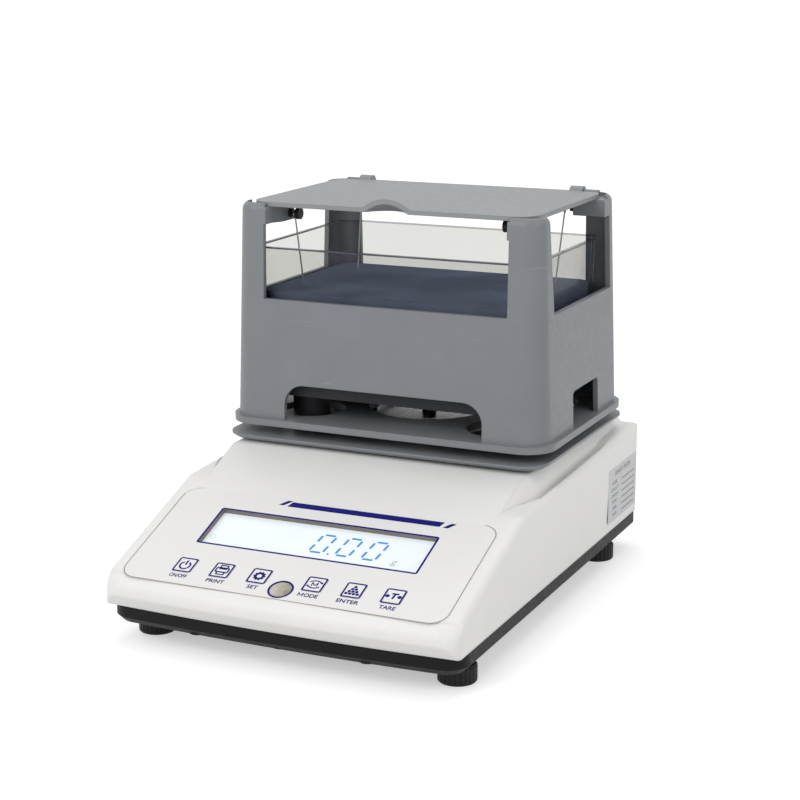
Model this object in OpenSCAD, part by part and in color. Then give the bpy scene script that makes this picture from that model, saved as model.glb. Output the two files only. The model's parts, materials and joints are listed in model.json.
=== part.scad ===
// Benchtop density meter: an electronic balance that carries a hydrostatic
// density kit. A moulded two-part housing stands on four levelling feet and
// holds a single-point load cell, the electronics, six keys, a display and a
// spirit level. A stand fixed on its deck holds a clear water tank, and a
// drafted frame on the weighing pan surrounds the tank: its hinged lid is the
// plate for weighing in air, and a perforated basket hangs from it in the
// water. Millimetres, +Z up, front towards -Y, origin on the bench under the
// centre of the housing.

/* [Housing] */
// Width of the housing across its sides
body_w = 207; // [190:1:230]
// Length of the housing from nose to rear wall
body_len = 290; // [270:1:320]
// Height of the deck that carries the density kit
deck_z = 84; // [80:1:95]
// Height of the split between the white cover and the dark tray
split_z = 22.7; // [20:0.1:26]
// Height of the tray's underside above the bench
tray_z = 12; // [11:0.5:14]
// Wall of the white cover
cover_wall = 2.5; // [2:0.1:3.5]
// Slope of the control panel, in degrees
panel_tilt = 20.3; // [15:0.1:24]
// Height of the side shoulders beside the front of the raised deck
shoulder_z = 73.7; // [70:0.1:76]
// Rise of the side shoulders towards the rear, in degrees
shoulder_rise = 2.1; // [0.5:0.1:3]
// Rounding of the panel's side edges
panel_round = 6; // [3:0.5:7]
// Width of the raised deck between its side slopes
deck_w = 180; // [160:1:184]
// Bow of the front face over the full width
front_bow = 3.2; // [1:0.1:5]
// Radius of the cover's front corners in plan
front_r = 10; // [8:0.5:13]

// Setback of the tray under the nose
tray_back = 6; // [2:0.1:8]

/* [Controls] */
// Width of a key
key_w = 11.2; // [9:0.1:12]
// Height of a key along the slope
key_h = 11.8; // [9:0.1:13]
// Distance between neighbouring keys of one group
key_pitch = 22.3; // [18:0.1:24]
// Distance from the middle to the first key of each group
key_first = 16.2; // [14:0.1:20]
// Travel of a key
key_travel = 0.4; // [0.2:0.1:0.6]
// Gap round a key in its opening
key_gap = 0.2; // [0.15:0.05:0.4]
// Width of the display window
lcd_w = 129.6; // [110:0.1:134]
// Height of the display window along the slope
lcd_h = 31; // [26:0.1:34]
// Depth of the display glass below the panel
lcd_depth = 3; // [2.6:0.1:4]
// Radius of the sight hole over the spirit level
level_r = 6.6; // [5:0.1:7]

/* [Levelling feet] */
// Radius of a foot
foot_r = 10.3; // [8:0.1:12]
// Height of the fluted part of a foot
foot_h = 9.6; // [7:0.1:10]
// Number of flutes round a foot
foot_flutes = 24; // [16:2:30]
// Radius of the threaded stud
stud_r = 3; // [2.5:0.5:4]
// Half distance between the feet across the housing
foot_x = 89.2; // [80:0.1:92]
// Half distance between the feet along the housing
foot_y = 108.4; // [100:0.1:118]

/* [Density kit stand] */
// Centre of the density kit along the housing
kit_y = 57.6; // [50:0.1:62]
// Thickness of the pads between deck and stand plate
pad_t = 1.9; // [1:0.1:3]
// Thickness of the stand plate
plate_t = 3; // [2.5:0.1:4]
// Half width of the stand plate
plate_x = 98.5; // [90:0.5:102]
// Half length of the stand plate
plate_y = 74.6; // [70:0.1:80]
// Half distance between the stand legs across the kit
leg_x = 60; // [54:0.5:62]
// Half distance between the stand legs along the kit
leg_y = 35.6; // [32:0.1:37]
// Radius of a stand leg
leg_r = 11; // [8:0.5:12]
// Underside of the tank platform
platform_z = 111; // [108:0.5:114]
// Thickness of the tank platform
platform_t = 3; // [2:0.5:4]

/* [Weighing frame] */
// Gap between the stand plate and the floor of the frame
floor_gap = 5.5; // [4.5:0.1:8]
// Thickness of the frame's floor
floor_t = 4; // [3:0.5:5]
// Margin of the floor outside the skirt
floor_rim = 2.6; // [1:0.1:5]
// Half width of the skirt at the floor
frame_x = 97; // [94:0.5:99]
// Half length of the skirt at the floor
frame_y = 67.8; // [66:0.1:70]
// Radius of the skirt's corners at the floor
frame_r = 15; // [13:0.5:18]
// Wall of the frame
frame_wall = 3; // [2.5:0.1:3.5]
// Draw of each wall over the height of the frame
frame_draft = 4.2; // [2:0.1:5]
// Height of the window sill
sill_z = 168; // [160:1:175]
// Height of the lid's upper face
lid_z = 222.8; // [215:0.1:232]
// Half width of the front and rear windows
window_x = 74.7; // [70:0.1:76]
// Half width of the front and rear skirt openings
mouth_x = 61.3; // [50:0.1:66]
// Top of the skirt openings
mouth_z = 119.3; // [115:0.1:124]
// Radius of the clearance holes round the stand legs
leg_hole_r = 19.5; // [16:0.5:21]
// Radius of the hole over the weighing pan
pan_hole_r = 35.5; // [30:0.5:37]

/* [Lid] */
// Thickness of the lid
lid_t = 2.5; // [2:0.1:3]
// Half width of the lid
lid_x = 86.6; // [82:0.1:87]
// Half length of the lid
lid_y = 59.2; // [56:0.1:59.5]
// Rise of the finger hood at the lid's front edge
hood_rise = 5.3; // [3:0.1:7]
// Width of the finger hood at the lid's front edge
hood_w = 30; // [20:1:34]
// Radius of the hinge barrels
barrel_r = 4.2; // [3.5:0.1:4.6]
// Length of a hinge barrel
barrel_l = 8; // [6:0.5:10]
// Radius of the hinge pins
pin_r = 1.25; // [1:0.05:1.5]

/* [Water tank] */
// Half width of the tank at its rim
tank_x = 86; // [80:0.5:87]
// Half length of the tank at its rim
tank_y = 59.4; // [55:0.1:60]
// Height of the tank
tank_h = 83; // [70:1:88]
// Wall of the tank
tank_wall = 2.2; // [1.8:0.1:3]
// Draw of each tank wall over its height
tank_draft = 4; // [2:0.5:5]
// Radius of the tank's corners at the rim
tank_r = 14; // [10:0.5:16]

/* [Basket] */
// Half width of the basket
basket_x = 64; // [56:1:66]
// Half length of the basket
basket_y = 34; // [30:0.5:36]
// Depth of the basket
basket_h = 12; // [8:1:16]
// Wall of the basket
basket_wall = 1.5; // [1.2:0.1:2.5]
// Radius of the holes in the basket's floor
hole_r = 2.6; // [1.5:0.1:3]
// Radius of the hanger wires
wire_r = 0.45; // [0.4:0.05:0.7]
// Half distance between the hanger wires' rings across the kit
hook_x = 66.5; // [65:0.1:67]
// Distance from the middle of the kit to the front hangers
front_hook_y = 40.6; // [40:0.1:42]
// Distance from the middle of the kit to the rear hangers
rear_hook_y = 46.6; // [45:0.1:48]

/* [Hidden] */
$fn = 48;

bx = body_w / 2;
by = body_len / 2;
nose_r = 9.5;
panel_y = -by + 21;
panel_z = 45.5;
plan_r = 7;
bow_r = bx * bx / (2 * front_bow);

plate_z = deck_z + pad_t;
plate_top = plate_z + plate_t;
floor_z = plate_top + floor_gap;
floor_top = floor_z + floor_t;
frame_cx = frame_x - frame_r;
frame_cy = frame_y - frame_r;
post_z = lid_z - 4.9;
lid_under = lid_z - lid_t;
bracket_z = lid_under - 9.8;
bracket_x = 73.5;
arm_x = 70;
bolt_z = lid_under - 5.8;
axle_y = kit_y + lid_y + 1.8;
axle_z = lid_z - 1.7;
barrel_x = bracket_x - 0.3;
tank_z = platform_z + platform_t;
tank_cx = tank_x - tank_r;
tank_cy = tank_y - tank_r;
cell_z = 31;
cell_h = 22;
cell_l = 130;
cell_x = 15;
stem_hole_r = 13;
basket_z = tank_z + 8;
basket_rim = basket_z + basket_h;
board_z = 22;

// Points of an arc round [cx, cy] from angle a to angle b
function arc(cx, cy, r, a, b, n) =
    [for (i = [0:n]) [cx + r * cos(a + (b - a) * i / n),
                      cy + r * sin(a + (b - a) * i / n)]];

// Height of the panel's outer plane at a place along the housing
function panel_at(y) = panel_z + tan(panel_tilt) * (y - panel_y);
// Place along the housing where the panel's outer plane has a height
function panel_where(z) = panel_y + (z - panel_z) / tan(panel_tilt);

// Height of the rising shoulder at a place along the housing
shoulder_y = -17;
function shoulder_at(y) = shoulder_z + tan(shoulder_rise) * (y - shoulder_y);

// Height of the nose arc's centre, so that the panel's plane touches the arc
nose_z = panel_at(nose_r - by) - nose_r / cos(panel_tilt);

// Rounded rectangle from circles and bars
module rounded(hx, hy, r) {
    square([2 * hx, 2 * (hy - r)], center = true);
    square([2 * (hx - r), 2 * hy], center = true);
    for (x = [-1, 1]) for (y = [-1, 1])
        translate([x * (hx - r), y * (hy - r)]) circle(r);
}

// Bowed front between round corners that touch the bow and the sides
module bowed(hx, y0, r) {
    b = hx * hx / (2 * front_bow);
    cy = y0 + b - sqrt(pow(b - r, 2) - pow(hx - r, 2));
    intersection() {
        union() {
            translate([r - hx, y0]) square([2 * (hx - r), 2 * body_len]);
            translate([-hx, cy]) square([2 * hx, 2 * body_len]);
            for (x = [-1, 1]) translate([x * (hx - r), cy]) circle(r);
        }
        translate([0, y0 + b]) circle(b, $fn = 720);
    }
}

// Plan of the housing: round corners and a bowed front
module plan(t) {
    intersection() {
        rounded(bx - t, by - t, plan_r - min(t, plan_r - 2));
        bowed(bx - t, t - by, front_r - t);
    }
}

// Plan of the tray, which stands back under the nose
module tray_plan(t) {
    intersection() {
        rounded(bx - 0.7 - t, by - 0.5 - t, plan_r - min(t, plan_r - 2));
        bowed(bx - 0.7 - t, tray_back + t - by, front_r + 3 - t);
    }
}

// Long section of the cover: panel, shoulder and rear, inset by t
module long_section(t) {
    fr = 30;
    mean = (panel_tilt + shoulder_rise) / 2;
    yi = (panel_z - tan(panel_tilt) * panel_y - shoulder_z + tan(shoulder_rise) * shoulder_y)
        / (tan(shoulder_rise) - tan(panel_tilt));
    k = fr / cos(panel_tilt - mean);
    dy = t * sin(panel_tilt);
    dz = t * cos(panel_tilt);
    y0 = panel_where(20);
    polygon(concat(
        [[y0 + dy, 20 - dz], [y0 + dy, 0]],
        [[by - t, 0]],
        arc(by - 8, shoulder_at(by - 8) - 8 / cos(shoulder_rise), 8 - t, 0, 90 + shoulder_rise, 6),
        arc(yi + k * sin(mean), panel_at(yi) - k * cos(mean), fr - t, 90 + shoulder_rise, 90 + panel_tilt, 5)));
}

// Cross section of the cover below the shoulders, inset by t
module cross_section(t) {
    side = concat(
        [[bx - 0.7 - t, 0], [bx - 0.7 - t, split_z], [bx - t, 45]],
        arc(bx - 5, shoulder_z - 5, 5 - t, 0, 90, 6));
    n = len(side);
    polygon(concat(side, [for (i = [0:n - 1]) [-side[n - 1 - i][0], side[n - 1 - i][1]]]));
}

// The lower body of the cover: everything under the side shoulders
module cover_block(t) {
    intersection() {
        rotate([90, 0, 90]) linear_extrude(2 * body_w, center = true) long_section(t);
        along_shoulder() rotate([90, 0, 0]) linear_extrude(2 * body_len, center = true) cross_section(t);
        linear_extrude(120) plan(t);
        nose_block(t);
        on_panel() rotate([90, 0, 0]) linear_extrude(3 * body_len, center = true) panel_section(t);
    }
}

// Turns things into the slope of the shoulders
module along_shoulder() {
    translate([0, shoulder_y, shoulder_z]) rotate([shoulder_rise, 0, 0])
        translate([0, -shoulder_y, -shoulder_z]) children();
}

// Cross section of the cover square to the panel, with rounded side edges
module panel_section(t) {
    r = panel_round;
    side = concat([[bx - t, -200]], arc(bx - r, -r, r - t, 0, 90, 6));
    n = len(side);
    polygon(concat(side, [for (i = [0:n - 1]) [-side[n - 1 - i][0], side[n - 1 - i][1]]]));
}

// Channels between the deck and the crests of the side shoulders
module channels(t) {
    x1 = bx - 3.9 + t;
    x0 = bx - 12;
    r = 3.4 + t;
    along_shoulder() intersection() {
        // floor, rising to the panel at the front tip and to the crest at the rear
        rotate([90, 0, 90]) linear_extrude(2 * body_w, center = true)
            polygon([[-56, shoulder_z + 2.6 - t], [-12, shoulder_z - 3 - t], [66, shoulder_z - 3 - t],
                     [96, shoulder_z + 0.2 - t], [140, shoulder_z + 4.9 - t],
                     [140, shoulder_z + 40], [-56, shoulder_z + 40]]);
        linear_extrude(120) for (x = [-1, 1]) {
            polygon([[x * (x0 - 3), -50 - t], [x * (x1 - 9.5), -46 - t], [x * x1, -19 - t],
                     [x * x1, 94], [x * (x0 - 3), 94]]);
            translate([x * (x1 - r), 94]) circle(r);
            translate([x * (x0 - 3 + x1 - r) / 2, 94 + r / 2]) square([x1 - r - x0 + 3, r], center = true);
        }
    }
}

// Everything behind the bowed nose
module nose_block(t) {
    r = nose_r - t;
    translate([0, bow_r - by, 0])
    rotate_extrude($fn = 720)
    polygon(concat(
        [[0, 0], [bow_r - 4.2 - t, 0], [bow_r - 4.2 - t, split_z]],
        [[bow_r - t, 29.5]],
        [for (p = arc(0, nose_z, r, 180, 90 + panel_tilt, 7)) [bow_r - nose_r - p[0], p[1]]],
        [[bow_r - nose_r - 6, 62], [bow_r - nose_r - 30, 120], [0, 120]]));
}

// The raised deck with sloping sides and a splayed front
module deck_block(t) {
    low = shoulder_z - 4;
    mid = shoulder_z + 3.8;
    y_top = panel_where(deck_z);
    dy = t / sin(panel_tilt);
    hx = deck_w / 2 - t;
    // each layer: height, half width, splay of the front corners, setback of the rear
    layers = [[low, hx + 7, 8.5, 4.5], [mid, hx + 5, 6, 6.5], [deck_z, hx, 0, 9]];
    hull() for (l = layers)
        translate([0, 0, l[0] - t - 0.01]) linear_extrude(0.01) {
            y = panel_where(l[0]) + dy;
            polygon([[-l[1] + l[2], y], [l[1] - l[2], y], [l[1], max(y_top, y + l[2] * 3)],
                     [l[1], by - l[3] - t], [-l[1], by - l[3] - t], [-l[1], max(y_top, y + l[2] * 3)]]);
        }
}

// Places things on the control panel: x across, y up the slope, z outwards
module on_panel() {
    translate([0, panel_y, panel_z]) rotate([panel_tilt, 0, 0]) children();
}

key_x = [-key_first - 2 * key_pitch, -key_first - key_pitch, -key_first,
         key_first, key_first + key_pitch, key_first + 2 * key_pitch];
level_y = -7.5;
lcd_y = 20 + lcd_h / 2;
overlay_t = 0.4;
overlay_r = 9.2;
overlay_x = 94;
overlay_lo = -15.4;
overlay_hi = 66;
inner_w = -cover_wall;
board_w = -12.6;
switch_w = -11;

module slab(hx, hy, r, z0, z1) {
    translate([0, 0, z0]) linear_extrude(z1 - z0) rounded(hx, hy, r);
}

// Place of the sight hole in the housing's own frame
level_pos = [0, panel_y + level_y * cos(panel_tilt), panel_z + level_y * sin(panel_tilt)];
screw_pos = [[-49.8, -by + 14], [49.8, -by + 14], [-90, by - 17], [90, by - 17]];
foot_pos = [[-foot_x, -foot_y], [foot_x, -foot_y], [-foot_x, foot_y], [foot_x, foot_y]];
stand_pos = [for (x = [-74, 74]) for (y = [-47, 47]) [x, kit_y + y]];
leg_pos = [for (x = [-leg_x, leg_x]) for (y = [-leg_y, leg_y]) [x, kit_y + y]];
board_pos = [[-88, -50], [-30, -50], [-88, 50], [-30, 50]];
post_z0 = split_z + 1.3;
display_pos = [[-70.5, 12], [70.5, 12], [-70.5, 53], [70.5, 53]];

// White cover with panel, deck, posts and rear sockets
module upper_housing() {
    color("#e4e3e1") difference() {
        union() {
            difference() {
                union() {
                    difference() {
                        cover_block(0);
                        channels(0);
                    }
                    deck_block(0);
                }
                difference() {
                    union() {
                        difference() {
                            cover_block(cover_wall);
                            channels(cover_wall);
                        }
                        deck_block(cover_wall);
                    }
                    // posts for the housing screws, standing down from the roof
                    for (p = screw_pos)
                        translate([p[0], p[1], post_z0]) cylinder(r = 3.8, h = 100);
                    // bosses for the stand screws
                    for (p = stand_pos)
                        translate([p[0], p[1], deck_z - 12]) cylinder(r = 4.5, h = 20);
                }
            }
            // posts of the display board and lip of the display window
            on_panel() {
                for (p = display_pos)
                    translate([p[0], p[1], board_w + 1.6]) cylinder(r = 2.6, h = -1.5 - board_w - 1.6);
                translate([0, lcd_y, 0]) slab(lcd_w / 2 + 1.6, lcd_h / 2 + 1.4, 2, -lcd_depth, -1);
            }
            // spill collar round the pan stem
            translate([0, kit_y, deck_z - cover_wall]) cylinder(r = stem_hole_r + 2, h = cover_wall + 4);
        }
        // nothing below the split
        translate([0, 0, -1]) linear_extrude(split_z + 1) square([2 * body_w, 2 * body_len], center = true);
        // stem hole
        translate([0, kit_y, 0]) cylinder(r = stem_hole_r, h = 200);
        // screw holes
        for (p = screw_pos)
            translate([p[0], p[1], 0]) cylinder(r = 1.5, h = post_z0 + 9);
        for (p = stand_pos)
            translate([p[0], p[1], deck_z - 11]) cylinder(r = 2, h = 20);
        on_panel() {
            // shallow seat of the printed overlay
            translate([0, (overlay_lo + overlay_hi) / 2, 0])
                slab(overlay_x + 0.3, (overlay_hi - overlay_lo) / 2 + 0.3, overlay_r + 0.3, -overlay_t, 8);
            // display window
            translate([0, lcd_y, 0]) slab(lcd_w / 2, lcd_h / 2, 1, -8, 8);
            // key openings
            for (x = key_x)
                translate([x, 0, 0]) slab(key_w / 2 + key_gap, key_h / 2 + key_gap, 1.6, -8, 8);
            // sight hole of the spirit level
            translate([0, level_y, -8]) cylinder(r = level_r + 0.4, h = 16);
            // screw holes of the display board
            for (p = display_pos)
                translate([p[0], p[1], board_w]) cylinder(r = 1.1, h = 8);
        }
        // rear sockets
        translate([-42, by, 46]) rotate([90, 0, 0]) slab(9.2, 5.1, 3, -5, 12);
        translate([-76, by + 5, 46]) rotate([90, 0, 0]) cylinder(r = 5.6, h = 20);
    }
}

// Dark tray with its floor, bosses and stand-offs
module base_tray() {
    color("#333537") difference() {
        union() {
            difference() {
                union() {
                    translate([0, 0, tray_z + 3.6]) linear_extrude(split_z - tray_z - 3.6) tray_plan(0);
                    hull() {
                        translate([0, 0, tray_z]) linear_extrude(0.01) tray_plan(3.4);
                        translate([0, 0, tray_z + 3.59]) linear_extrude(0.01) tray_plan(0);
                    }
                }
                translate([0, 0, tray_z + 2.5]) linear_extrude(40) tray_plan(4.5);
            }
            for (p = foot_pos)
                translate([p[0], p[1], tray_z]) cylinder(r = 7, h = 11);
            for (p = screw_pos)
                translate([p[0], p[1], tray_z]) cylinder(r = 5, h = post_z0 - tray_z);
            for (p = board_pos)
                translate([p[0], p[1], tray_z]) cylinder(r = 3.5, h = board_z - tray_z);
            // pillar and cup of the spirit level
            translate([level_pos[0], level_pos[1], tray_z]) {
                cylinder(r = 5, h = 15);
                translate([0, 0, 12]) cylinder(r1 = 5, r2 = 8.5, h = 3);
                translate([0, 0, 15]) cylinder(r = 8.5, h = 3);
            }
            // seat of the load cell
            translate([0, kit_y + cell_l / 2 - 13, tray_z]) linear_extrude(4) square([50, 34], center = true);
            // boss of the overload stop
            translate([0, kit_y - cell_l / 2 + 8, tray_z]) cylinder(r = 7, h = 8);
            // stiffening ribs of the floor
            for (y = [-84, -30])
                translate([-(bx - 9), y, tray_z]) cube([2 * (bx - 9), 2, 6]);
        }
        for (p = foot_pos)
            translate([p[0], p[1], 0]) cylinder(r = stud_r + 0.05, h = 60);
        for (p = screw_pos) {
            translate([p[0], p[1], 0]) cylinder(r = 1.7, h = 60);
            translate([p[0], p[1], 0]) cylinder(r = 3.2, h = tray_z + 4);
        }
        for (p = board_pos)
            translate([p[0], p[1], tray_z + 3]) cylinder(r = 1.25, h = 40);
        translate([level_pos[0], level_pos[1], tray_z + 16]) cylinder(r = 7.6, h = 20);
        for (y = [104, 116])
            translate([0, y, 0]) {
                cylinder(r = 3.1, h = 60);
                cylinder(r = 5.4, h = tray_z + 2);
            }
        translate([0, kit_y - cell_l / 2 + 8, 0]) cylinder(r = 2.55, h = 60);
    }
}

// Fluted levelling foot on its stud
module foot(p) {
    color("#1b1c1d") translate([p[0], p[1], 0]) {
        difference() {
            union() {
                cylinder(r = foot_r - 0.6, h = 0.6);
                translate([0, 0, 0.6]) cylinder(r = foot_r, h = foot_h - 1.4);
                translate([0, 0, foot_h - 0.8]) cylinder(r = foot_r - 0.8, h = 0.8);
            }
            for (i = [0:foot_flutes - 1])
                rotate([0, 0, i * 360 / foot_flutes]) translate([foot_r + 0.25, 0, 1.6])
                    cylinder(r = 0.85, h = foot_h, $fn = 16);
        }
        translate([0, 0, foot_h]) cylinder(r = stud_r, h = 17.5);
    }
}

module foot_front_left() { foot(foot_pos[0]); }
module foot_front_right() { foot(foot_pos[1]); }
module foot_rear_left() { foot(foot_pos[2]); }
module foot_rear_right() { foot(foot_pos[3]); }

// Single-point load cell: a bar with two joined cross bores
module load_cell() {
    color("#b9bcbf") difference() {
        translate([-cell_x, kit_y - cell_l / 2, cell_z]) cube([2 * cell_x, cell_l, cell_h]);
        for (y = [-12, 12])
            translate([-30, kit_y + y, cell_z + cell_h / 2]) rotate([0, 90, 0]) cylinder(r = 8, h = 60);
        translate([-30, kit_y - 12, cell_z + cell_h / 2 - 3]) cube([60, 24, 6]);
        for (y = [0, 11])
            translate([0, y, cell_z + 10]) cylinder(r = 3.3, h = 40);
        for (y = [104, 116])
            translate([0, y, cell_z - 1]) cylinder(r = 3, h = 15);
    }
}

// Block that lifts the fixed end of the load cell off the tray
module load_cell_mount() {
    color("#8f9296") difference() {
        translate([-cell_x, kit_y + cell_l / 2 - 26, tray_z + 4]) cube([2 * cell_x, 26, cell_z - tray_z - 4]);
        for (y = [104, 116])
            translate([0, y, 0]) cylinder(r = 3.1, h = 60);
    }
}

// Bolts that hold the load cell from below
module load_cell_bolts() {
    color("#9a9da0") {
        for (y = [104, 116]) translate([0, y, 0]) {
            translate([0, 0, tray_z]) cylinder(r = 5, h = 2);
            translate([0, 0, tray_z + 2]) cylinder(r = 3, h = cell_z + 14 - tray_z - 2);
        }
    }
}

// Stop screw with its lock nut under the free end of the load cell
module overload_stop() {
    color("#9a9da0") translate([0, kit_y - cell_l / 2 + 8, 0]) {
        translate([0, 0, tray_z + 1]) cylinder(r = 2.5, h = cell_z - 0.8 - tray_z - 1);
        translate([0, 0, tray_z + 8]) difference() {
            cylinder(r = 4.6, h = 4, $fn = 6);
            cylinder(r = 2.5, h = 4);
        }
    }
}

// Cast carrier from the free end of the load cell to the pan
module pan_carrier() {
    top = cell_z + cell_h;
    color("#c3c6c9") {
        difference() {
            union() {
                translate([-cell_x, kit_y - cell_l / 2, top]) cube([2 * cell_x, 25, 10]);
                translate([-11, kit_y - cell_l / 2, top + 4]) cube([22, cell_l / 2 + 4, 6]);
                translate([0, kit_y, top + 4]) cylinder(r = 16, h = 6);
                for (x = [-9, 7])
                    translate([x, kit_y - cell_l / 2 + 12, top + 10]) cube([2, cell_l / 2 - 18, 4]);
                translate([0, kit_y, top + 10]) cylinder(r1 = 12, r2 = 8, h = 8);
                translate([0, kit_y, top + 18]) cylinder(r = 8, h = floor_z - 3 - top - 18);
                translate([0, kit_y, floor_z - 3]) cylinder(r = 3, h = 3);
            }
            for (y = [0, 11])
                translate([0, y, 0]) cylinder(r = 3, h = 100);
            translate([0, kit_y, floor_z - 14]) cylinder(r = 2, h = 20);
        }
    }
}

// Bolts that hold the carrier on the load cell
module carrier_bolts() {
    top = cell_z + cell_h;
    color("#9a9da0") for (y = [0, 11]) translate([0, y, 0]) {
        translate([0, 0, cell_z + 12]) cylinder(r = 3, h = top + 10 - cell_z - 12);
        translate([0, 0, top + 10]) cylinder(r = 5.2, h = 3.5, $fn = 6);
    }
}

// Black screw at the middle of the pan
module pan_screw() {
    color("#202122") translate([0, kit_y, 0]) {
        translate([0, 0, floor_z - 12]) cylinder(r = 2, h = 12);
        difference() {
            translate([0, 0, floor_z]) cylinder(r = 4.2, h = 2.4);
            translate([-0.6, -5, floor_z + 1.2]) cube([1.2, 10, 3]);
        }
    }
}

// Main circuit board with its parts
module main_board() {
    color("#2f6b3c") difference() {
        union() {
            translate([-93, -57, board_z]) cube([69, 114, 1.6]);
            translate([-84, 16, board_z + 1.6]) cube([30, 26, 4]);
            translate([-48, 20, board_z + 1.6]) cube([14, 14, 2]);
            translate([-84, -22, board_z + 1.6]) cube([16, 24, 9]);
            for (i = [0:2])
                translate([-42, -34 + i * 14, board_z + 1.6]) cylinder(r = 4, h = 11);
            translate([-60, -46, board_z + 1.6]) cube([20, 6, 6]);
            translate([-66, -4, board_z + 1.6]) cube([10, 10, 1.6]);
        }
        for (p = board_pos)
            translate([p[0], p[1], 0]) cylinder(r = 1.25, h = 60);
    }
}

// Display board, parallel to the panel, cut out round the level vial
module display_board() {
    color("#2f6b3c") difference() {
        on_panel() translate([-74, -6, board_w]) cube([148, 62, 1.6]);
        translate([level_pos[0], level_pos[1], 0]) cylinder(r = 10.5, h = 80);
        on_panel() for (p = display_pos) translate([p[0], p[1], -20]) cylinder(r = 1.2, h = 10);
    }
}

// Screws of the display board
module display_screws() {
    color("#9a9da0") on_panel() for (p = display_pos) translate([p[0], p[1], board_w]) {
        translate([0, 0, -1.6]) cylinder(r = 2.2, h = 1.6);
        cylinder(r = 1.1, h = 7.6);
    }
}

// Light box behind the display glass
module lcd_backlight() {
    color("#f2f2ee") on_panel() translate([0, lcd_y, 0])
        slab(lcd_w / 2 + 2, lcd_h / 2 + 1.6, 1, switch_w, -lcd_depth - 2.2);
}

// Display glass
module lcd_panel() {
    color("#d7eef2") on_panel() translate([0, lcd_y, 0])
        slab(lcd_w / 2 + 2, lcd_h / 2 + 1.6, 1, -lcd_depth - 2.2, -lcd_depth);
}

// Key: cap, retaining flange under the cover and plunger
module key(i) {
    flange = inner_w - 0.1;
    color("#e4e3e1") on_panel() translate([key_x[i], 0, 0]) {
        slab(key_w / 2, key_h / 2, 1.4, flange - 0.01, 0.2);
        slab(key_w / 2 + 1, key_h / 2 + 0.9, 1.4, flange - 1, flange);
        translate([0, 0, switch_w + 4.5]) cylinder(r = 1.7, h = flange - 1 - switch_w - 4.5);
    }
}

module key_power() { key(0); }
module key_print() { key(1); }
module key_set() { key(2); }
module key_mode() { key(3); }
module key_enter() { key(4); }
module key_tare() { key(5); }

// Six short-travel switches on the display board
module key_switches() {
    color("#1d1e20") on_panel() for (x = key_x) translate([x, 0, 0]) {
        slab(3, 3, 0.4, switch_w, switch_w + 3.4);
        translate([0, 0, switch_w + 3.4]) cylinder(r = 1.7, h = 0.5);
    }
}

// Printed overlay round the keys and the display
module panel_overlay() {
    color("#e6e5e3") on_panel() difference() {
        translate([0, (overlay_lo + overlay_hi) / 2, 0])
            slab(overlay_x, (overlay_hi - overlay_lo) / 2, overlay_r, -overlay_t, 0);
        translate([0, lcd_y, 0]) slab(lcd_w / 2, lcd_h / 2, 1, -1, 1);
        for (x = key_x)
            translate([x, 0, 0]) slab(key_w / 2 + key_gap, key_h / 2 + key_gap, 1.6, -1, 1);
        translate([0, level_y, -1]) cylinder(r = level_r + 0.4, h = 2);
    }
}

// Trim ring of the sight hole
module level_ring() {
    color("#20207a") on_panel() translate([0, level_y, 0]) difference() {
        translate([0, 0, inner_w]) cylinder(r = level_r + 0.3, h = -inner_w + 0.2);
        translate([0, 0, -5]) cylinder(r = level_r - 1, h = 10);
        translate([0, 0, -1]) cylinder(r = level_r - 0.25, h = 10);
    }
}

// Clear window in the trim ring
module level_window() {
    color("#c9c3b0") on_panel() translate([0, level_y, -1]) cylinder(r = level_r - 0.3, h = 0.9);
}

// Round spirit level, level with the bench under its sight hole
module level_vial() {
    color("#b9a98c") translate([level_pos[0], level_pos[1], tray_z + 16])
        difference() {
            union() {
                cylinder(r = 7.5, h = 6);
                translate([0, 0, 6]) cylinder(r1 = 7.5, r2 = 6.8, h = 1.4);
            }
            translate([0, 0, 7]) cylinder(r = 5.6, h = 1);
        }
}

// Socket for the mains adapter
module power_inlet() {
    color("#1d1e20") translate([-76, by - 0.6, 46]) rotate([90, 0, 0]) {
        difference() {
            union() {
                cylinder(r = 5.5, h = 11);
                translate([0, 0, cover_wall - 0.6]) cylinder(r = 7.6, h = 2);
            }
            translate([0, 0, -1]) cylinder(r = 2.8, h = 10);
        }
        translate([0, 0, 1.5]) cylinder(r = 1, h = 8);
    }
}

// Nine-pin data port
module data_port() {
    color("#9a9da0") translate([-42, by - 0.6, 46]) rotate([90, 0, 0]) {
        difference() {
            union() {
                slab(9, 4.9, 2.8, 0, 10);
                slab(15.6, 6.4, 1.9, cover_wall - 0.6, cover_wall + 1.4);
            }
            slab(8.2, 4.1, 2.6, -1, 6);
        }
        for (i = [-2:2]) translate([i * 2.8, 1.3, 2]) cylinder(r = 0.5, h = 6);
        for (i = [-1.5:1.5]) translate([i * 2.8, -1.3, 2]) cylinder(r = 0.5, h = 6);
    }
}

// Screws that hold the cover to the tray
module housing_screws() {
    color("#9a9da0") for (p = screw_pos) translate([p[0], p[1], 0]) {
        difference() {
            translate([0, 0, tray_z + 2]) cylinder(r = 2.9, h = 2);
            for (a = [0, 90]) translate([0, 0, tray_z + 1.5]) rotate([0, 0, a])
                translate([-1.6, -0.35, 0]) cube([3.2, 0.7, 1.6]);
        }
        translate([0, 0, tray_z + 4]) cylinder(r = 1.5, h = post_z0 + 8 - tray_z - 4);
    }
}

// Screws of the main board
module board_screws() {
    color("#9a9da0") for (p = board_pos) translate([p[0], p[1], 0]) {
        translate([0, 0, tray_z + 4]) cylinder(r = 1.25, h = board_z + 1.6 - tray_z - 4);
        translate([0, 0, board_z + 1.6]) cylinder(r = 2.6, h = 1.8);
    }
}

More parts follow.
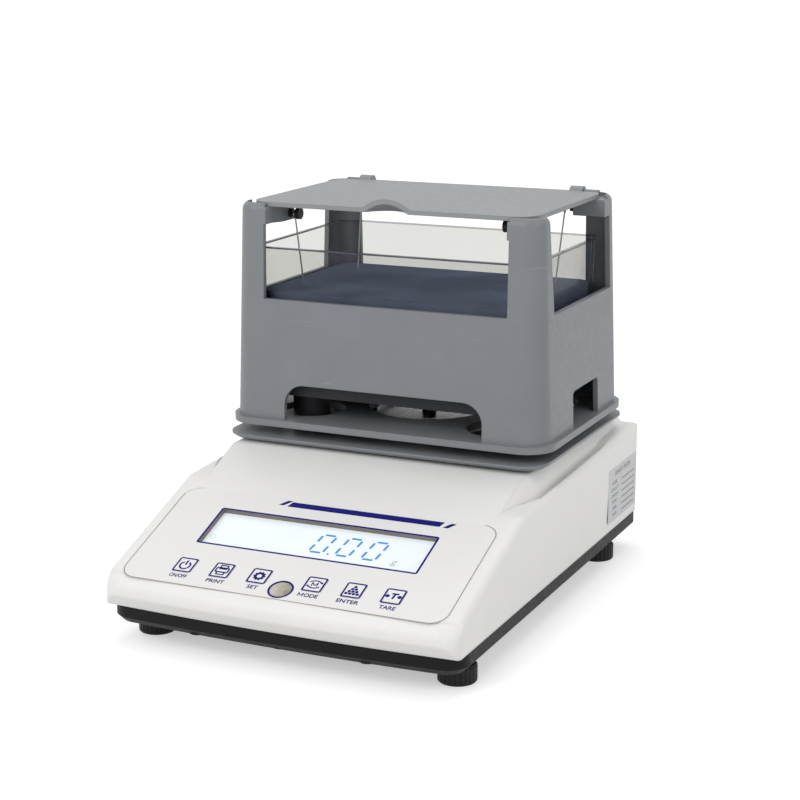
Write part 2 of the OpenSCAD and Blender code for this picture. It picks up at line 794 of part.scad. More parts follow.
// Rubber pads that keep the stand plate off the deck
module stand_pads() {
    color("#232425") for (p = stand_pos) translate([p[0], p[1], deck_z]) difference() {
        cylinder(r = 5.5, h = pad_t);
        translate([0, 0, -1]) cylinder(r = 2.2, h = 10);
    }
}

// Fixed plate of the tank stand
module stand_plate() {
    color("#8d9093") difference() {
        translate([0, kit_y, 0]) {
            hull() {
                slab(plate_x - 2.4, plate_y - 2.4, 12.6, plate_z, plate_z + 0.01);
                slab(plate_x, plate_y, 15, plate_z + 1.7, plate_z + 1.71);
            }
            slab(plate_x, plate_y, 15, plate_z + 1.7, plate_top);
        }
        translate([0, kit_y, 0]) cylinder(r = stem_hole_r + 3.5, h = 200);
        for (p = stand_pos) translate([p[0], p[1], 0]) {
            cylinder(r = 2.2, h = 200);
            translate([0, 0, plate_top - 2]) cylinder(r1 = 2.2, r2 = 4.2, h = 2);
        }
        for (p = leg_pos) translate([p[0], p[1], 0]) {
            cylinder(r = 2.2, h = 200);
            translate([0, 0, plate_z]) cylinder(r1 = 4.2, r2 = 2.2, h = 2);
        }
    }
}

// Countersunk screws from the stand plate into the deck
module stand_screws() {
    color("#9a9da0") for (p = stand_pos) translate([p[0], p[1], 0]) {
        translate([0, 0, deck_z - 10]) cylinder(r = 2, h = plate_top - 2 - deck_z + 10);
        difference() {
            translate([0, 0, plate_top - 2]) cylinder(r1 = 2, r2 = 4, h = 2);
            for (a = [0, 90]) translate([0, 0, plate_top - 1]) rotate([0, 0, a])
                translate([-1.8, -0.4, 0]) cube([3.6, 0.8, 2]);
        }
    }
}

// Countersunk screws from under the stand plate into the legs
module platform_screws() {
    color("#9a9da0") for (p = leg_pos) translate([p[0], p[1], 0]) {
        translate([0, 0, plate_z]) cylinder(r1 = 4, r2 = 2, h = 2);
        translate([0, 0, plate_z + 2]) cylinder(r = 2, h = 12);
    }
}

// Tank platform on its four legs
module tank_platform() {
    floor_x = tank_x - tank_draft;
    floor_y = tank_y - tank_draft;
    color("#85888c") difference() {
        union() {
            translate([0, kit_y, 0]) slab(floor_x + 4, floor_y + 3.4, 12, platform_z, platform_z + platform_t + 5);
            for (p = leg_pos) translate([p[0], p[1], plate_top])
                cylinder(r = leg_r, h = platform_z - plate_top);
            // ribs from leg to leg under the platform
            for (y = [-leg_y, leg_y]) translate([-leg_x, kit_y + y - 1.25, platform_z - 5]) cube([2 * leg_x, 2.5, 5]);
            for (x = [-leg_x, leg_x]) translate([x - 1.25, kit_y - leg_y, platform_z - 5]) cube([2.5, 2 * leg_y, 5]);
        }
        // seat of the tank
        translate([0, kit_y, 0]) slab(floor_x + 0.7, floor_y + 0.7, tank_r - tank_draft + 0.7, tank_z, tank_z + 10);
        for (p = leg_pos) translate([p[0], p[1], 0]) cylinder(r = 2, h = plate_top + 14);
    }
}

// Box with drafted walls: corner radius r0 at z0 and r1 at z1, same centres
module drafted(cx, cy, r0, r1, z0, z1) {
    rotate([90, 0, 0]) linear_extrude(2 * cy, center = true)
        polygon([[-cx - r0, z0], [cx + r0, z0], [cx + r1, z1], [-cx - r1, z1]]);
    rotate([90, 0, 90]) linear_extrude(2 * cx, center = true)
        polygon([[-cy - r0, z0], [cy + r0, z0], [cy + r1, z1], [-cy - r1, z1]]);
    for (x = [-cx, cx]) for (y = [-cy, cy])
        translate([x, y, z0]) cylinder(r1 = r0, r2 = r1, h = z1 - z0);
}

// Clear tank with drafted walls
module water_tank() {
    r0 = tank_r - tank_draft;
    fz = tank_z + 3;
    rf = r0 + tank_draft * 3 / tank_h;
    color([0.8, 0.88, 0.92, 0.35]) translate([0, kit_y, 0]) difference() {
        drafted(tank_cx, tank_cy, r0, tank_r, tank_z, tank_z + tank_h);
        drafted(tank_cx, tank_cy, rf - tank_wall, tank_r - tank_wall + 0.1, fz, tank_z + tank_h + 2);
    }
}

// Round pan on the stem, with the ring that centres the frame
module weighing_pan() {
    color("#b4b8ba") translate([0, kit_y, 0]) difference() {
        union() {
            translate([0, 0, floor_z - 3]) cylinder(r = 45, h = 3);
            translate([0, 0, floor_z]) cylinder(r = pan_hole_r - 0.3, h = 1.8);
        }
        translate([0, 0, floor_z]) cylinder(r = pan_hole_r - 4.3, h = 5);
        cylinder(r = 3, h = 200);
    }
}

// Rounded top of the frame's outer form
module frame_outer() {
    h = post_z - floor_top;
    r1 = frame_r - frame_draft;
    tops = arc(r1 - 5, post_z, 5, 0, 90, 5);
    prof = concat([[frame_r, floor_top]], tops);
    n = len(prof);
    rotate([90, 0, 0]) linear_extrude(2 * frame_cy, center = true)
        polygon(concat([for (p = prof) [frame_cx + p[0], p[1]]],
            [for (i = [0:n - 1]) [-frame_cx - prof[n - 1 - i][0], prof[n - 1 - i][1]]]));
    rotate([90, 0, 90]) linear_extrude(2 * frame_cx, center = true)
        polygon(concat([for (p = prof) [frame_cy + p[0], p[1]]],
            [for (i = [0:n - 1]) [-frame_cy - prof[n - 1 - i][0], prof[n - 1 - i][1]]]));
    for (x = [-frame_cx, frame_cx]) for (y = [-frame_cy, frame_cy])
        translate([x, y, 0]) rotate_extrude()
            polygon(concat([[0, floor_top]], prof, [[0, post_z + 5]]));
}

// Weighing frame: floor, drafted skirt with openings, posts and brackets
module weighing_frame() {
    wall_top = frame_r - frame_draft - frame_wall;
    color("#85888c") translate([0, kit_y, 0]) difference() {
        union() {
            slab(frame_x + floor_rim, frame_y + floor_rim + 0.3, frame_r + floor_rim, floor_z, floor_top);
            difference() {
                frame_outer();
                drafted(frame_cx, frame_cy, frame_r - frame_wall, wall_top, floor_top, post_z);
                drafted(frame_cx, frame_cy, wall_top, wall_top, post_z - 0.01, lid_z + 10);
                // front and rear windows
                translate([0, 0, sill_z]) linear_extrude(100) square([2 * window_x, 400], center = true);
                // side windows, wider towards the lid at the front
                rotate([90, 0, 90]) linear_extrude(400, center = true)
                    polygon([[-45.3, sill_z], [49.4, sill_z], [49.4, lid_z + 20], [-51, lid_z + 20]]);
                // front and rear mouths of the skirt
                rotate([90, 0, 0]) linear_extrude(400, center = true) {
                    translate([-mouth_x, floor_top - 1]) square([2 * mouth_x, mouth_z - 12 - floor_top + 1]);
                    translate([-mouth_x + 12, floor_top - 1]) square([2 * mouth_x - 24, mouth_z - floor_top + 1]);
                    for (x = [-1, 1]) translate([x * (mouth_x - 12), mouth_z - 12]) circle(12);
                }
                // side mouths of the skirt
                rotate([90, 0, 90]) linear_extrude(400, center = true) {
                    translate([-17.6, floor_top - 1]) square([42.5, mouth_z - 3 - floor_top + 1]);
                    translate([-14.6, floor_top - 1]) square([36.5, mouth_z - floor_top + 1]);
                    for (y = [-14.6, 21.9]) translate([y, mouth_z - 3]) circle(3);
                }
            }
            // brackets in the post heads: lid seats and hanger bosses
            intersection() {
                frame_outer();
                union() {
                    for (x = [-1, 1])
                        translate([x * (bracket_x + 12), rear_hook_y + 6.5, (bracket_z + lid_under) / 2])
                            cube([24, 24, lid_under - bracket_z], center = true);
                    translate([0, 0, bracket_z]) linear_extrude(lid_under - bracket_z) for (x = [-1, 1])
                        polygon([[x * arm_x, -front_hook_y - 8], [x * arm_x, -front_hook_y + 5],
                                 [x * (arm_x + 5), -front_hook_y + 5], [x * 84, -49], [x * 98, -49],
                                 [x * 98, -70], [x * bracket_x, -70], [x * bracket_x, -front_hook_y - 16]]);
                }
            }
            // ears of the lid hinge
            for (x = [-1, 1]) translate([x * (bracket_x + 4.5), axle_y - kit_y, axle_z]) rotate([0, 90, 0])
                cylinder(r = 2.4, h = 9, center = true);
            for (x = [-1, 1]) translate([x * (bracket_x + 4.5) - 4.5, axle_y - kit_y - 2.4, bracket_z])
                cube([9, 4.8, axle_z - bracket_z]);
        }
        // hanger bolt bores
        for (x = [-1, 1]) for (r = hangers)
            translate([x * (r[1] + (r[0] > 0 ? 3.5 : 2.5)), r[0], bolt_z]) rotate([0, 90, 0])
                cylinder(r = 2, h = r[0] > 0 ? 9 : 7, center = true);
        // hinge pin bores
        for (x = [-1, 1]) translate([x * (bracket_x + 3), axle_y - kit_y, axle_z]) rotate([0, 90, 0])
            cylinder(r = pin_r, h = 12, center = true);
        // hole over the pan and clearance round the stand legs
        translate([0, 0, floor_z - 1]) cylinder(r = pan_hole_r, h = floor_t + 2);
        for (x = [-leg_x, leg_x]) for (y = [-leg_y, leg_y])
            translate([x, y, floor_z - 1]) cylinder(r = leg_hole_r, h = floor_t + 2);
    }
}

// Hangers of the front and the rear: place along the kit, inner end of the arm,
// inner end of the stub
hangers = [[-front_hook_y, arm_x, hook_x - 3.3], [rear_hook_y, bracket_x, hook_x - 1.6]];

// Lid and air weighing plate, with finger hood and hinge barrels
module lid() {
    hood_r = (hood_w * hood_w / 4 + hood_rise * hood_rise) / (2 * hood_rise);
    hood_tilt = atan(hood_rise / 11);
    front = -lid_y;
    color("#a7a9ac") translate([0, kit_y, 0]) difference() {
        union() {
            difference() {
                slab(lid_x, lid_y, 12, lid_under, lid_z);
                // rear corners cleared for the hinge ears
                for (x = [-1, 1]) translate([x * (bracket_x + 9.3), lid_y, lid_z]) cube([20, 7, 20], center = true);
            }
            // hood: a tilted half round rising to the front edge
            intersection() {
                translate([0, front, lid_z + hood_rise - hood_r / cos(hood_tilt)]) rotate([-90 - hood_tilt, 0, 0])
                    cylinder(r = hood_r, h = 60, center = true, $fn = 96);
                translate([-hood_w, front, lid_under]) cube([2 * hood_w, 16, 20]);
            }
            for (x = [-1, 1]) translate([x * (barrel_x - barrel_l / 2), 0, 0]) {
                translate([0, axle_y - kit_y, axle_z]) rotate([0, 90, 0]) cylinder(r = barrel_r, h = barrel_l, center = true);
                translate([-barrel_l / 2, lid_y - 6, lid_under]) cube([barrel_l, 7, lid_t]);
            }
        }
        intersection() {
            translate([0, front, lid_z + hood_rise - hood_r / cos(hood_tilt)]) rotate([-90 - hood_tilt, 0, 0])
                cylinder(r = hood_r - lid_t, h = 60, center = true, $fn = 96);
            translate([-hood_w, front - 5, lid_under - 10]) cube([2 * hood_w, 30, 40]);
        }
        for (x = [-1, 1]) translate([x * barrel_x, axle_y - kit_y, axle_z]) rotate([0, 90, 0])
            cylinder(r = pin_r + 0.05, h = 2 * barrel_l - 4, center = true);
    }
}

// Pins of the lid hinge
module hinge_pins() {
    color("#c3c6c9") for (x = [-1, 1])
        translate([x * (bracket_x + 1.5), axle_y, axle_z]) rotate([0, 90, 0])
            cylinder(r = pin_r, h = 13, center = true);
}

// Hanger bolts: thread in the arm and smooth stub with an end bead
module hanger_bolts() {
    color("#aeb1b4") for (x = [-1, 1]) for (r = hangers)
        translate([0, kit_y + r[0], bolt_z]) rotate([0, x * 90, 0]) {
            translate([0, 0, r[2]]) cylinder(r = 1.3, h = 0.7);
            translate([0, 0, r[2]]) cylinder(r = 0.9, h = r[1] - r[2]);
            translate([0, 0, r[1]]) cylinder(r = 2, h = r[0] > 0 ? 8 : 6);
        }
}

// Black collars on all four stubs and knobs on the two front ones
module hanger_caps() {
    color("#202122") for (x = [-1, 1]) {
        for (r = hangers)
            translate([0, kit_y + r[0], bolt_z]) rotate([0, x * 90, 0]) difference() {
                translate([0, 0, hook_x + 1.2 + (r[0] > 0 ? 2.6 : 0)])
                    cylinder(r = 2.5, h = r[1] - hook_x - 1.2 - (r[0] > 0 ? 2.6 : 0));
                cylinder(r = 0.9, h = 100);
            }
        translate([0, kit_y - front_hook_y, bolt_z]) rotate([0, x * 90, 0]) difference() {
            translate([0, 0, hook_x - 3.6]) cylinder(r = 3.4, h = 2.4);
            translate([0, 0, hook_x - 3.3]) cylinder(r = 1.3, h = 0.7);
            translate([0, 0, hook_x - 3.3]) cylinder(r = 0.9, h = 10);
        }
    }
}

// Perforated basket under the water
module basket() {
    color("#c9ccce") translate([0, kit_y, 0]) difference() {
        union() {
            slab(basket_x, basket_y, 7, basket_z, basket_rim);
            slab(basket_x + 1.2, basket_y + 1.2, 8.2, basket_rim - 1.2, basket_rim);
        }
        slab(basket_x - basket_wall, basket_y - basket_wall, 5.5, basket_z + 1.6, basket_rim + 1);
        for (ix = [-6:6]) for (iy = [-3:3])
            translate([ix * 8.6, iy * 8.6, basket_z - 1]) cylinder(r = hole_r, h = 5, $fn = 20);
    }
}

// Four wires with rings on the hanger stubs
module hanger_wires() {
    ring_r = 2;
    bead_r = 0.75;
    cz = bolt_z + 0.9 + 0.05 + wire_r - ring_r;
    top = cz - ring_r;
    h = top - (basket_rim - 0.4);
    dx = hook_x - basket_x + 0.8;
    color("#8a8d91") for (x = [-1, 1]) for (r = hangers) {
        y = r[0] > 0 ? 1 : -1;
        dy = abs(r[0]) - basket_y + 5;
        translate([x * hook_x, kit_y + r[0], cz]) {
            // ring round the stub
            rotate([0, 90, 0]) rotate_extrude($fn = 48) translate([ring_r, 0]) circle(wire_r, $fn = 16);
            // bead where the ring is twisted shut
            translate([0, 0, -ring_r - bead_r + wire_r - 0.1]) sphere(r = bead_r, $fn = 24);
            // wire down to the basket's rim
            translate([0, 0, -ring_r]) rotate([0, 0, atan2(-y * dy, -x * dx)])
                rotate([0, 180 - atan(sqrt(dx * dx + dy * dy) / h), 0])
                    translate([0, 0, 0.2]) cylinder(r = wire_r, h = sqrt(h * h + dx * dx + dy * dy) - 0.2, $fn = 16);
        }
    }
}

upper_housing();
base_tray();
foot_front_left();
foot_front_right();
foot_rear_left();
foot_rear_right();
load_cell();
load_cell_mount();
load_cell_bolts();
overload_stop();
pan_carrier();
carrier_bolts();
pan_screw();
main_board();
display_board();
lcd_backlight();
lcd_panel();
key_power();
key_print();
key_set();
key_mode();
key_enter();
key_tare();
key_switches();
panel_overlay();
level_ring();
level_window();
level_vial();
power_inlet();
data_port();
housing_screws();
board_screws();
display_screws();
stand_pads();
stand_plate();
stand_screws();
platform_screws();
tank_platform();
water_tank();
weighing_pan();
weighing_frame();
lid();
hinge_pins();
hanger_bolts();
hanger_caps();
basket();
hanger_wires();
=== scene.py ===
"""Benchtop density meter: finishes, smooth skins, print, display, water, label and studio."""

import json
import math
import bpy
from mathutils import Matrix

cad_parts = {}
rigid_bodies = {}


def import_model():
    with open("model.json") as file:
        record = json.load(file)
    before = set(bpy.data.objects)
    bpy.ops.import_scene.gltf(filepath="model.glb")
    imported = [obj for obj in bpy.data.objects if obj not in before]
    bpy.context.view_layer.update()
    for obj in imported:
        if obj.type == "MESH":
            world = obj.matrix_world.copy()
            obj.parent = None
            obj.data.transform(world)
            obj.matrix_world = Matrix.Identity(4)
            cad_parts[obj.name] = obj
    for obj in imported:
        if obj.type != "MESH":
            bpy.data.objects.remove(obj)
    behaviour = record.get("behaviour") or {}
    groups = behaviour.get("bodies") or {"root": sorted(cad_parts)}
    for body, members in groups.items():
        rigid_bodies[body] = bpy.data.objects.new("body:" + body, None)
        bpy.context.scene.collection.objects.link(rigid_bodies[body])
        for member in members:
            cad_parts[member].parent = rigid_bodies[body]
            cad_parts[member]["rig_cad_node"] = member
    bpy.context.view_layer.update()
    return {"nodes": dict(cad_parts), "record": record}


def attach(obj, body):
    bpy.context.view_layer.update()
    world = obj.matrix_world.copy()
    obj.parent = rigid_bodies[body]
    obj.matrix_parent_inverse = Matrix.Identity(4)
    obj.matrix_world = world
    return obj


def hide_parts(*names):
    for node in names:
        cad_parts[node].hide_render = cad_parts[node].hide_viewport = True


bl_info = {
    "name": "Density Meter Dressing",
    "version": (1, 0, 0),
    "blender": (4, 5, 0),
    "location": "View3D > Sidebar > Density Meter",
    "description": "Finishes and printed details of a benchtop density meter",
    "category": "Object",
}

import bpy
from mathutils import Matrix, Vector

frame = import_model()
CAD = frame["nodes"]
MM = 0.001
NOISE_RANGE = (0.3, 0.7)  # where nearly all values of a noise lie

# The sloping control panel: its slope, the datum of its print and, up the slope from there, the
# middle of the display window, in millimetres
PANEL_TILT = math.radians(20.3)
PANEL_Y, PANEL_Z = -124.0, 45.5
WINDOW_UP = 35.5
# The middle of each key across the panel, in millimetres
KEY_PLACES = {
    "key_power": -60.8, "key_print": -38.5, "key_set": -16.2,
    "key_mode": 16.2, "key_enter": 38.5, "key_tare": 60.8,
}
# The water tank, in millimetres: its middle, foot and height, and how far its walls lean out
KIT_Y = 57.6
TANK_FOOT, TANK_HEIGHT, TANK_LEAN = 114.0, 83.0, 4.0


# ---------------- sizes and colours

class DensityMeterSizes(bpy.types.PropertyGroup):
    print_height: bpy.props.FloatProperty(
        name="Print height", description="Thickness of the printed ink on the panel",
        default=0.05 * MM, min=0.01 * MM, max=0.3 * MM, unit="LENGTH", precision=6)
    key_line: bpy.props.FloatProperty(
        name="Key line", description="Width of the line printed round each key",
        default=0.98 * MM, min=0.3 * MM, max=1.2 * MM, unit="LENGTH", precision=5)
    window_line: bpy.props.FloatProperty(
        name="Window line", description="Width of the line printed round the display window",
        default=1.15 * MM, min=0.3 * MM, max=1.5 * MM, unit="LENGTH", precision=5)
    # the groove line is painted shadow in the joint round the overlay
    groove_line: bpy.props.FloatProperty(
        name="Groove line", description="Width of the dark joint round the overlay",
        default=0.55 * MM, min=0.2 * MM, max=1.0 * MM, unit="LENGTH", precision=5)
    word_height: bpy.props.FloatProperty(
        name="Word height", description="Size of the words under the keys",
        default=3.85 * MM, min=2 * MM, max=5 * MM, unit="LENGTH", precision=5)
    digit_height: bpy.props.FloatProperty(
        name="Digit height", description="Height of the display's figures",
        default=15.0 * MM, min=8 * MM, max=18 * MM, unit="LENGTH", precision=5)
    water_level: bpy.props.FloatProperty(
        name="Water level", description="Height of the water's surface above the bench",
        default=170.4 * MM, min=140 * MM, max=190 * MM, unit="LENGTH", precision=5)


class DensityMeterColours(bpy.types.PropertyGroup):
    cover: bpy.props.FloatVectorProperty(
        name="Cover", description="White moulded cover and keys", subtype="COLOR",
        size=3, min=0, max=1, default=(0.80, 0.792, 0.782))
    tray: bpy.props.FloatVectorProperty(
        name="Tray", description="Charcoal moulded tray", subtype="COLOR",
        size=3, min=0, max=1, default=(0.0085, 0.009, 0.0094))
    platform: bpy.props.FloatVectorProperty(
        name="Platform", description="Charcoal moulding of the tank platform", subtype="COLOR",
        size=3, min=0, max=1, default=(0.026, 0.027, 0.031))
    kit: bpy.props.FloatVectorProperty(
        name="Kit", description="Grey moulding of the frame and stand", subtype="COLOR",
        size=3, min=0, max=1, default=(0.200, 0.213, 0.226))
    lid: bpy.props.FloatVectorProperty(
        name="Lid", description="Grey moulding of the lid", subtype="COLOR",
        size=3, min=0, max=1, default=(0.272, 0.281, 0.288))
    ink: bpy.props.FloatVectorProperty(
        name="Ink", description="Navy ink of the words and marks", subtype="COLOR",
        size=3, min=0, max=1, default=(0.008, 0.007, 0.155))
    screen: bpy.props.FloatVectorProperty(
        name="Screen", description="Lit background of the display", subtype="COLOR",
        size=3, min=0, max=1, default=(0.58, 0.625, 0.655))
    figures: bpy.props.FloatVectorProperty(
        name="Figures", description="Figures on the display", subtype="COLOR",
        size=3, min=0, max=1, default=(0.085, 0.33, 0.70))
    water: bpy.props.FloatVectorProperty(
        name="Water", description="Tint of the water in the tank", subtype="COLOR",
        size=3, min=0, max=1, default=(0.185, 0.222, 0.325))


# ---------------- finishes

def new_finish(name):
    """An empty node material with its Principled shader."""
    mat = bpy.data.materials.new(name)
    mat.use_nodes = True
    nodes = mat.node_tree.nodes
    return mat, nodes, mat.node_tree.links, nodes["Principled BSDF"]


def noise(nodes, links, scale, detail=3.0, rough=0.5, stretch=None):
    """Noise over the object, stretched by three scales and turned by three angles on request."""
    place = nodes.new("ShaderNodeTexCoord")
    tex = nodes.new("ShaderNodeTexNoise")
    tex.inputs["Scale"].default_value = scale
    tex.inputs["Detail"].default_value = detail
    tex.inputs["Roughness"].default_value = rough
    if stretch:
        turn = nodes.new("ShaderNodeMapping")
        turn.inputs["Scale"].default_value = stretch[:3]
        if len(stretch) > 3:
            turn.inputs["Rotation"].default_value = stretch[3:]
        links.new(place.outputs["Object"], turn.inputs["Vector"])
        links.new(turn.outputs["Vector"], tex.inputs["Vector"])
    else:
        links.new(place.outputs["Object"], tex.inputs["Vector"])
    return tex.outputs["Fac"]


def remap(nodes, links, value, low, high, out_low=0.0, out_high=1.0):
    """Carries a value from one range to another."""
    node = nodes.new("ShaderNodeMapRange")
    node.inputs["From Min"].default_value = low
    node.inputs["From Max"].default_value = high
    node.inputs["To Min"].default_value = out_low
    node.inputs["To Max"].default_value = out_high
    links.new(value, node.inputs["Value"])
    return node.outputs["Result"]


def blend_colours(nodes, links, factor, first, second):
    """Blends two colours, each given as a colour or as a socket."""
    node = nodes.new("ShaderNodeMix")
    node.data_type = "RGBA"
    links.new(factor, node.inputs["Factor"])
    for value, socket in ((first, 6), (second, 7)):
        if isinstance(value, bpy.types.NodeSocket):
            links.new(value, node.inputs[socket])
        else:
            node.inputs[socket].default_value = (*value[:3], 1)
    return node.outputs[2]


def shade(colour, factor):
    """The colour made darker or lighter."""
    return tuple(min(1.0, c * factor) for c in colour)


def two_tone(nodes, links, value, first, second, spread=NOISE_RANGE):
    """Blends two colours over the spread of a noise."""
    return blend_colours(nodes, links, remap(nodes, links, value, *spread), first, second)


def combine(nodes, links, operation, first, second):
    """A Math node fed by two sockets."""
    node = nodes.new("ShaderNodeMath")
    node.operation = operation
    links.new(first, node.inputs[0])
    links.new(second, node.inputs[1])
    return node


def relief(nodes, links, height, strength, depth):
    """A Bump node over a height, depth millimetres deep."""
    node = nodes.new("ShaderNodeBump")
    node.inputs["Strength"].default_value = strength
    node.inputs["Distance"].default_value = depth * MM
    links.new(height, node.inputs["Height"])
    return node


def along(nodes, links, axis):
    """How far each point lies along one axis of the object."""
    place = nodes.new("ShaderNodeTexCoord")
    axes = nodes.new("ShaderNodeSeparateXYZ")
    links.new(place.outputs["Object"], axes.inputs["Vector"])
    return axes.outputs[axis]


def moulded_plastic(name, colour, rough=0.42, grain=2600.0, bump=0.06, mottle=0.05, scratches=0.0,
                    crevice=0.35, round_edge=0.0006, gloss=0.35):
    """Moulded plastic: spark texture, faint clouds, painted shade in the corners, hairline
    scratches.
    """
    mat, nodes, links, skin = new_finish(name)
    cloud = noise(nodes, links, 38.0, 4.0, 0.6)
    base = two_tone(nodes, links, cloud, shade(colour, 1 - mottle), shade(colour, 1 + mottle))
    if scratches:
        fine = noise(nodes, links, 60.0, 2.0, 0.4, (1.0, 1.0, 14.0, 0.3, 0.9, 0.2))
        patch = noise(nodes, links, 14.0, 2.0)
        mark = combine(nodes, links, "MULTIPLY", remap(nodes, links, fine, 0.735, 0.76),
                       remap(nodes, links, patch, 0.52, 0.62, 0.0, scratches))
        base = blend_colours(nodes, links, mark.outputs[0], base, shade(colour, 1.7))
    # painted shade: the colour darkens where the AO node finds corners and creases
    if crevice:
        corner = nodes.new("ShaderNodeAmbientOcclusion")
        corner.samples = 4
        corner.only_local = True
        corner.inputs["Distance"].default_value = 3 * MM
        crevice_shade = remap(nodes, links, corner.outputs["AO"], 0.0, 0.7, crevice, 0.0)
        base = blend_colours(nodes, links, crevice_shade, base, shade(colour, 0.45))
    links.new(base, skin.inputs["Base Color"])
    skin.inputs["Specular IOR Level"].default_value = gloss
    sheen = noise(nodes, links, 320.0, 3.0)
    links.new(remap(nodes, links, sheen, *NOISE_RANGE, rough - 0.05, rough + 0.06),
              skin.inputs["Roughness"])
    pits = relief(nodes, links, noise(nodes, links, grain, 2.0, 0.6), bump, 0.1)
    if round_edge:
        edge = nodes.new("ShaderNodeBevel")
        edge.samples = 4
        edge.inputs["Radius"].default_value = round_edge
        links.new(edge.outputs["Normal"], pits.inputs["Normal"])
    links.new(pits.outputs["Normal"], skin.inputs["Normal"])
    return mat


def brushed_metal(name, colour, rough=0.32, stretch=(1.0, 1.0, 40.0), scale=90.0):
    """Drawn or brushed steel and milled aluminium."""
    mat, nodes, links, skin = new_finish(name)
    line = noise(nodes, links, scale, 4.0, 0.6, stretch)
    links.new(two_tone(nodes, links, line, shade(colour, 0.86), shade(colour, 1.08)),
              skin.inputs["Base Color"])
    links.new(remap(nodes, links, line, *NOISE_RANGE, rough - 0.08, rough + 0.1),
              skin.inputs["Roughness"])
    skin.inputs["Metallic"].default_value = 1.0
    links.new(relief(nodes, links, line, 0.08, 0.05).outputs["Normal"], skin.inputs["Normal"])
    return mat


def clear_wall(name, colour, edge, thin=0.155, steep=0.9, rough=0.1):
    """Clear tank wall: nearly open face on (thin), dark slate where seen along the wall (steep)."""
    mat, nodes, links, skin = new_finish(name)
    facing = nodes.new("ShaderNodeLayerWeight")
    facing.inputs["Blend"].default_value = 0.5
    open_wall = two_tone(nodes, links, noise(nodes, links, 60.0, 3.0), shade(colour, 0.85),
                         shade(colour, 1.15))
    turned = remap(nodes, links, facing.outputs["Facing"], 0.6, 0.95)
    links.new(blend_colours(nodes, links, turned, open_wall, edge), skin.inputs["Base Color"])
    skin.inputs["Roughness"].default_value = rough
    skin.inputs["Specular IOR Level"].default_value = 0.25
    through = nodes.new("ShaderNodeBsdfTransparent")
    through.inputs["Color"].default_value = (0.99, 0.99, 0.972, 1)
    mixed = nodes.new("ShaderNodeMixShader")
    links.new(remap(nodes, links, facing.outputs["Facing"], 0.62, 0.98, thin, steep),
              mixed.inputs["Fac"])
    links.new(through.outputs["BSDF"], mixed.inputs[1])
    links.new(skin.outputs["BSDF"], mixed.inputs[2])
    links.new(mixed.outputs["Shader"], nodes["Material Output"].inputs["Surface"])
    return mat


def lit_screen(name, colour):
    """Backlit display glass, its glow slightly uneven."""
    mat, nodes, links, skin = new_finish(name)
    lit = two_tone(nodes, links, noise(nodes, links, 22.0, 2.0), shade(colour, 0.96), colour)
    links.new(lit, skin.inputs["Base Color"])
    links.new(lit, skin.inputs["Emission Color"])
    skin.inputs["Emission Strength"].default_value = 0.6
    skin.inputs["Roughness"].default_value = 0.3
    return mat


def level_glass(name, light, dark):
    """Window of the spirit level with painted shade: pale at its left, olive towards the right,
    slightly cloudy.
    """
    mat, nodes, links, skin = new_finish(name)
    half = 5.5 * MM
    # painted shade: from the light colour at the left to the dark one at the right
    across = remap(nodes, links, along(nodes, links, "X"), -half, half)
    cloud = remap(nodes, links, noise(nodes, links, 260.0, 3.0), 0.25, 0.75, -0.3, 0.3)
    spread = combine(nodes, links, "ADD", across, cloud)
    spread.use_clamp = True
    links.new(blend_colours(nodes, links, spread.outputs[0], light, dark),
              skin.inputs["Base Color"])
    skin.inputs["Roughness"].default_value = 0.22
    return mat


def printed_ink(name, colour, rough=0.35):
    """Screen-printed ink, finely speckled."""
    mat, nodes, links, skin = new_finish(name)
    speck = noise(nodes, links, 900.0, 2.0)
    links.new(two_tone(nodes, links, speck, shade(colour, 0.85), shade(colour, 1.25)),
              skin.inputs["Base Color"])
    skin.inputs["Roughness"].default_value = rough
    skin.inputs["Specular IOR Level"].default_value = 0.1
    return mat


def circuit_lacquer(name, colour):
    """Green solder mask with darker tracks."""
    mat, nodes, links, skin = new_finish(name)
    place = nodes.new("ShaderNodeTexCoord")
    brick = nodes.new("ShaderNodeTexBrick")
    brick.inputs["Scale"].default_value = 160.0
    brick.inputs["Color1"].default_value = (*colour, 1)
    brick.inputs["Color2"].default_value = (*shade(colour, 1.3), 1)
    brick.inputs["Mortar"].default_value = (*shade(colour, 0.6), 1)
    brick.inputs["Mortar Size"].default_value = 0.03
    links.new(place.outputs["Object"], brick.inputs["Vector"])
    links.new(brick.outputs["Color"], skin.inputs["Base Color"])
    skin.inputs["Roughness"].default_value = 0.38
    return mat


# ---------------- modelling helpers

def clear_selection():
    if bpy.context.object and bpy.context.object.mode != "OBJECT":
        bpy.ops.object.mode_set(mode="OBJECT")
    bpy.ops.object.select_all(action="DESELECT")


def pick(*objects):
    """Selects the objects alone, the first of them active."""
    clear_selection()
    for obj in objects:
        obj.select_set(True)
    bpy.context.view_layer.objects.active = objects[0]


def settle(obj):
    """Bakes the object's place, turn and scale into its mesh."""
    pick(obj)
    bpy.ops.object.transform_apply(location=True, rotation=True, scale=True)
    return obj


def merge(objects, name):
    """Joins the objects into the first of them."""
    pick(*objects)
    if len(objects) > 1:
        bpy.ops.object.join()
    obj = bpy.context.view_layer.objects.active
    obj.name = name
    obj.data.name = name
    return obj


def edit(obj):
    """Opens the object's mesh with all of it selected."""
    pick(obj)
    bpy.ops.object.mode_set(mode="EDIT")
    bpy.ops.mesh.select_mode(type="FACE")
    bpy.ops.mesh.select_all(action="SELECT")


def leave_edit():
    bpy.ops.object.mode_set(mode="OBJECT")


def drop_faces(obj, test):
    """Removes the faces whose centre passes the test."""
    pick(obj)
    for face in obj.data.polygons:
        face.select = bool(test(face.center))
    bpy.ops.object.mode_set(mode="EDIT")
    bpy.ops.mesh.select_mode(type="FACE")
    bpy.ops.mesh.delete(type="FACE")
    leave_edit()


